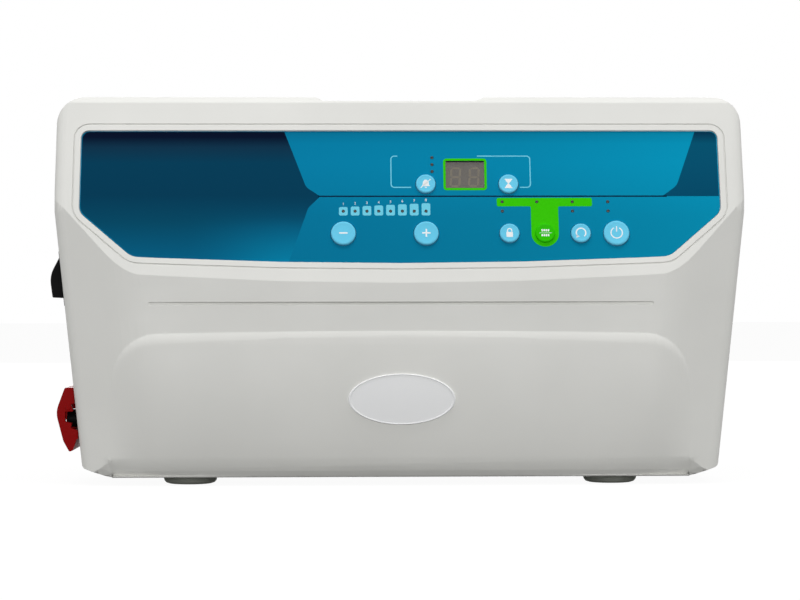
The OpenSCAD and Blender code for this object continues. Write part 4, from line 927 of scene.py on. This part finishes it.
def iconShapes(name, x, v):
    form = iconForm
    def at(points, across=0.0, up=0.0):
        return [(x + across + a, v + up + b) for a, b in points]
    def slab(key, across=0.0, up=0.0):
        x0, v0, x1, v1, radius = form[key]
        return box(x + across + x0, v + up + v0, x + across + x1, v + up + v1, radius)
    def arc(key):
        up, radius, steps, start, sweep = form[key]
        return circle(x, v + up, radius, steps, start, sweep)
    if name == "soft":
        return [slab("minus")]
    if name == "firm":
        return [at(form["plus"])]
    if name == "mute":
        return [at(form["bell"]), arc("clapper"), stroke(at(form["slash"]), form["slashWidth"])]
    if name == "cycle":
        return [at(form["hourglass"])]
    if name == "lock":
        half, foot = form["bow"][1], form["bowFoot"]
        bow = [*at([(-half, foot)]), *arc("bow"), *at([(half, foot)])]
        return [slab("lockBody"), stroke(bow, form["bowWidth"])]
    if name == "mode":
        columns = [i * form["cellStep"] for i in (-1.5, -0.5, 0.5, 1.5)]
        cells = [slab("cell", across, up) for across in columns for up in form["cellRows"]]
        outer, inner, steps = form["ring"]
        return [*cells, slab("cellLine"), [circle(x, v, outer, steps), circle(x, v, inner, steps)[::-1]]]
    if name == "auto":
        turn = arc("turn")
        endX, endV = turn[-1]
        return [stroke(turn, form["turnWidth"]), at(form["arrow"], endX - x, endV - v)]
    return [stroke(arc("powerArc"), form["powerWidth"]), slab("powerBar")]


cyanCap = moulded("keyCyan", (112, 212, 245), 0.35, 0.05, gloss=0.06)
limeCap = moulded("keyLime", (52, 202, 6), 0.35, 0.05, gloss=0.04)
# the cyan keys' raised rims are coloured near white: a painted highlight
cyanRimHighlight = moulded("keyRim", (214, 242, 252), 0.3, 0.02, gloss=0.4)
for name, (x, v, top) in keyAt.items():
    keyCap(name, *((limeCap, limeCap) if name == "mode" else (cyanCap, cyanRimHighlight)))
    low, thick = top - keyForm["dish"] - keyForm["iconSunk"], keyForm["icon"] + keyForm["iconSunk"]
    printed(name + "_icon", iconShapes(name, x, v), low, thick, inks["white"], name + "_key")
print("stage: keys")


# ---- display: smoked window over two digits of seven bars

digit = {
    "half": 2.9, "up": 5.0, "bar": 1.15, "gap": 0.15, "slant": 0.06, "at": (-5.0, 4.8), "low": -1.2,
    "face": -1.72, "thick": 0.06,
}
# the painted shadow along the window's top: half width, lower and upper edge over the window's middle, corner
# radius, thickness
shade = {"half": 10.2, "low": 6.9, "high": 7.65, "radius": 0.3, "thick": 0.02}


def digitBars(x, v):
    half, up, tip, gap = digit["half"], digit["up"], digit["bar"] / 2, digit["gap"]
    def hexagon(long):
        flat = long - tip
        return [(-long, 0), (-flat, -tip), (flat, -tip), (long, 0), (flat, tip), (-flat, tip)]
    lying = hexagon(half - tip - gap)
    standing = [(-b, a) for a, b in hexagon(up / 2 - gap)]
    bars = [[(a, b + j) for a, b in lying] for j in (-up, 0, up)]
    sides = [(i * (half - tip), j * up / 2) for i in (-1, 1) for j in (-1, 1)]
    bars += [[(a + i, b + j) for a, b in standing] for i, j in sides]
    return [[(x + a + b * digit["slant"], v + b) for a, b in bar] for bar in bars]


def windowFinish():
    finish = Finish("smokedGlass")
    dust = finish.fade(finish.noise(500, 2), 0.3, 0.7)
    tone = finish.mix(dust, full(rgb(120, 116, 110)), full(rgb(128, 124, 118)))
    return finish.surface({"Base Color": tone, "Roughness": 0.12, "Alpha": 0.45})


def paintedShadowShape():  # a painted shadow: a dark strip along the window's upper edge
    low, high = windowV + shade["low"], windowV + shade["high"]
    return box(windowX - shade["half"], low, windowX + shade["half"], high, shade["radius"])


nodes["display_window"].data.materials[0] = windowFinish()
bars = [bar for at in digit["at"] for bar in digitBars(windowX + at, windowV + digit["low"])]
barInk = ink("digitBar", (222, 206, 168), 0.5)
printed("digit_bars", bars, digit["face"], digit["thick"], barInk)
# painted shadow: a dark strip printed along the top of the display window
printed("window_shade", [paintedShadowShape()], film["face"], shade["thick"], inks["dark"])
print("stage: display")


# ---- badge: a dished oval with a rim, laid on the bulge

badge = {
    "halfWide": 28.0, "halfHigh": 13.3, "up": 45.5, "steps": 72, "sharp": 30, "rimRings": range(4, 8),
    "profile": [  # share of the half sizes, height over the bulge
        (0.0, 0.5), (0.4, 0.5), (0.8, 0.5), (0.955, 0.5), (0.963, 0.74), (0.975, 0.8), (0.99, 0.7),
        (1.0, 0.35), (1.0, 0.0), (0.5, 0.0), (0.0, 0.0),
    ],
}


def badgePiece():
    shell = bpy.data.objects["housing_front"].data
    tree = BVHTree.FromPolygons([v.co for v in shell.vertices], [p.vertices[:] for p in shell.polygons])
    rings = []
    for share, out in badge["profile"]:
        unit = circle(0, 0, share, badge["steps"] if share else 1)
        oval = [(a * badge["halfWide"], badge["up"] + b * badge["halfHigh"]) for a, b in unit]
        rings.append([Vector((x, faceAt(tree, x, z) - out, z)) * mm for x, z in oval])
    mesh = lofted("badge_plate", rings, badge["sharp"], badge["rimRings"])
    plate = moulded("badgeFace", (250, 251, 252), 0.35, 0.02, shade=1, gloss=0.3)
    rim = moulded("badgeRim", (134, 136, 134), 0.4, 0.02, gloss=0.1)
    piece("badge_plate", mesh, [plate, rim], "housing", ["oval_badge"])


badgePiece()
print("stage: badge")
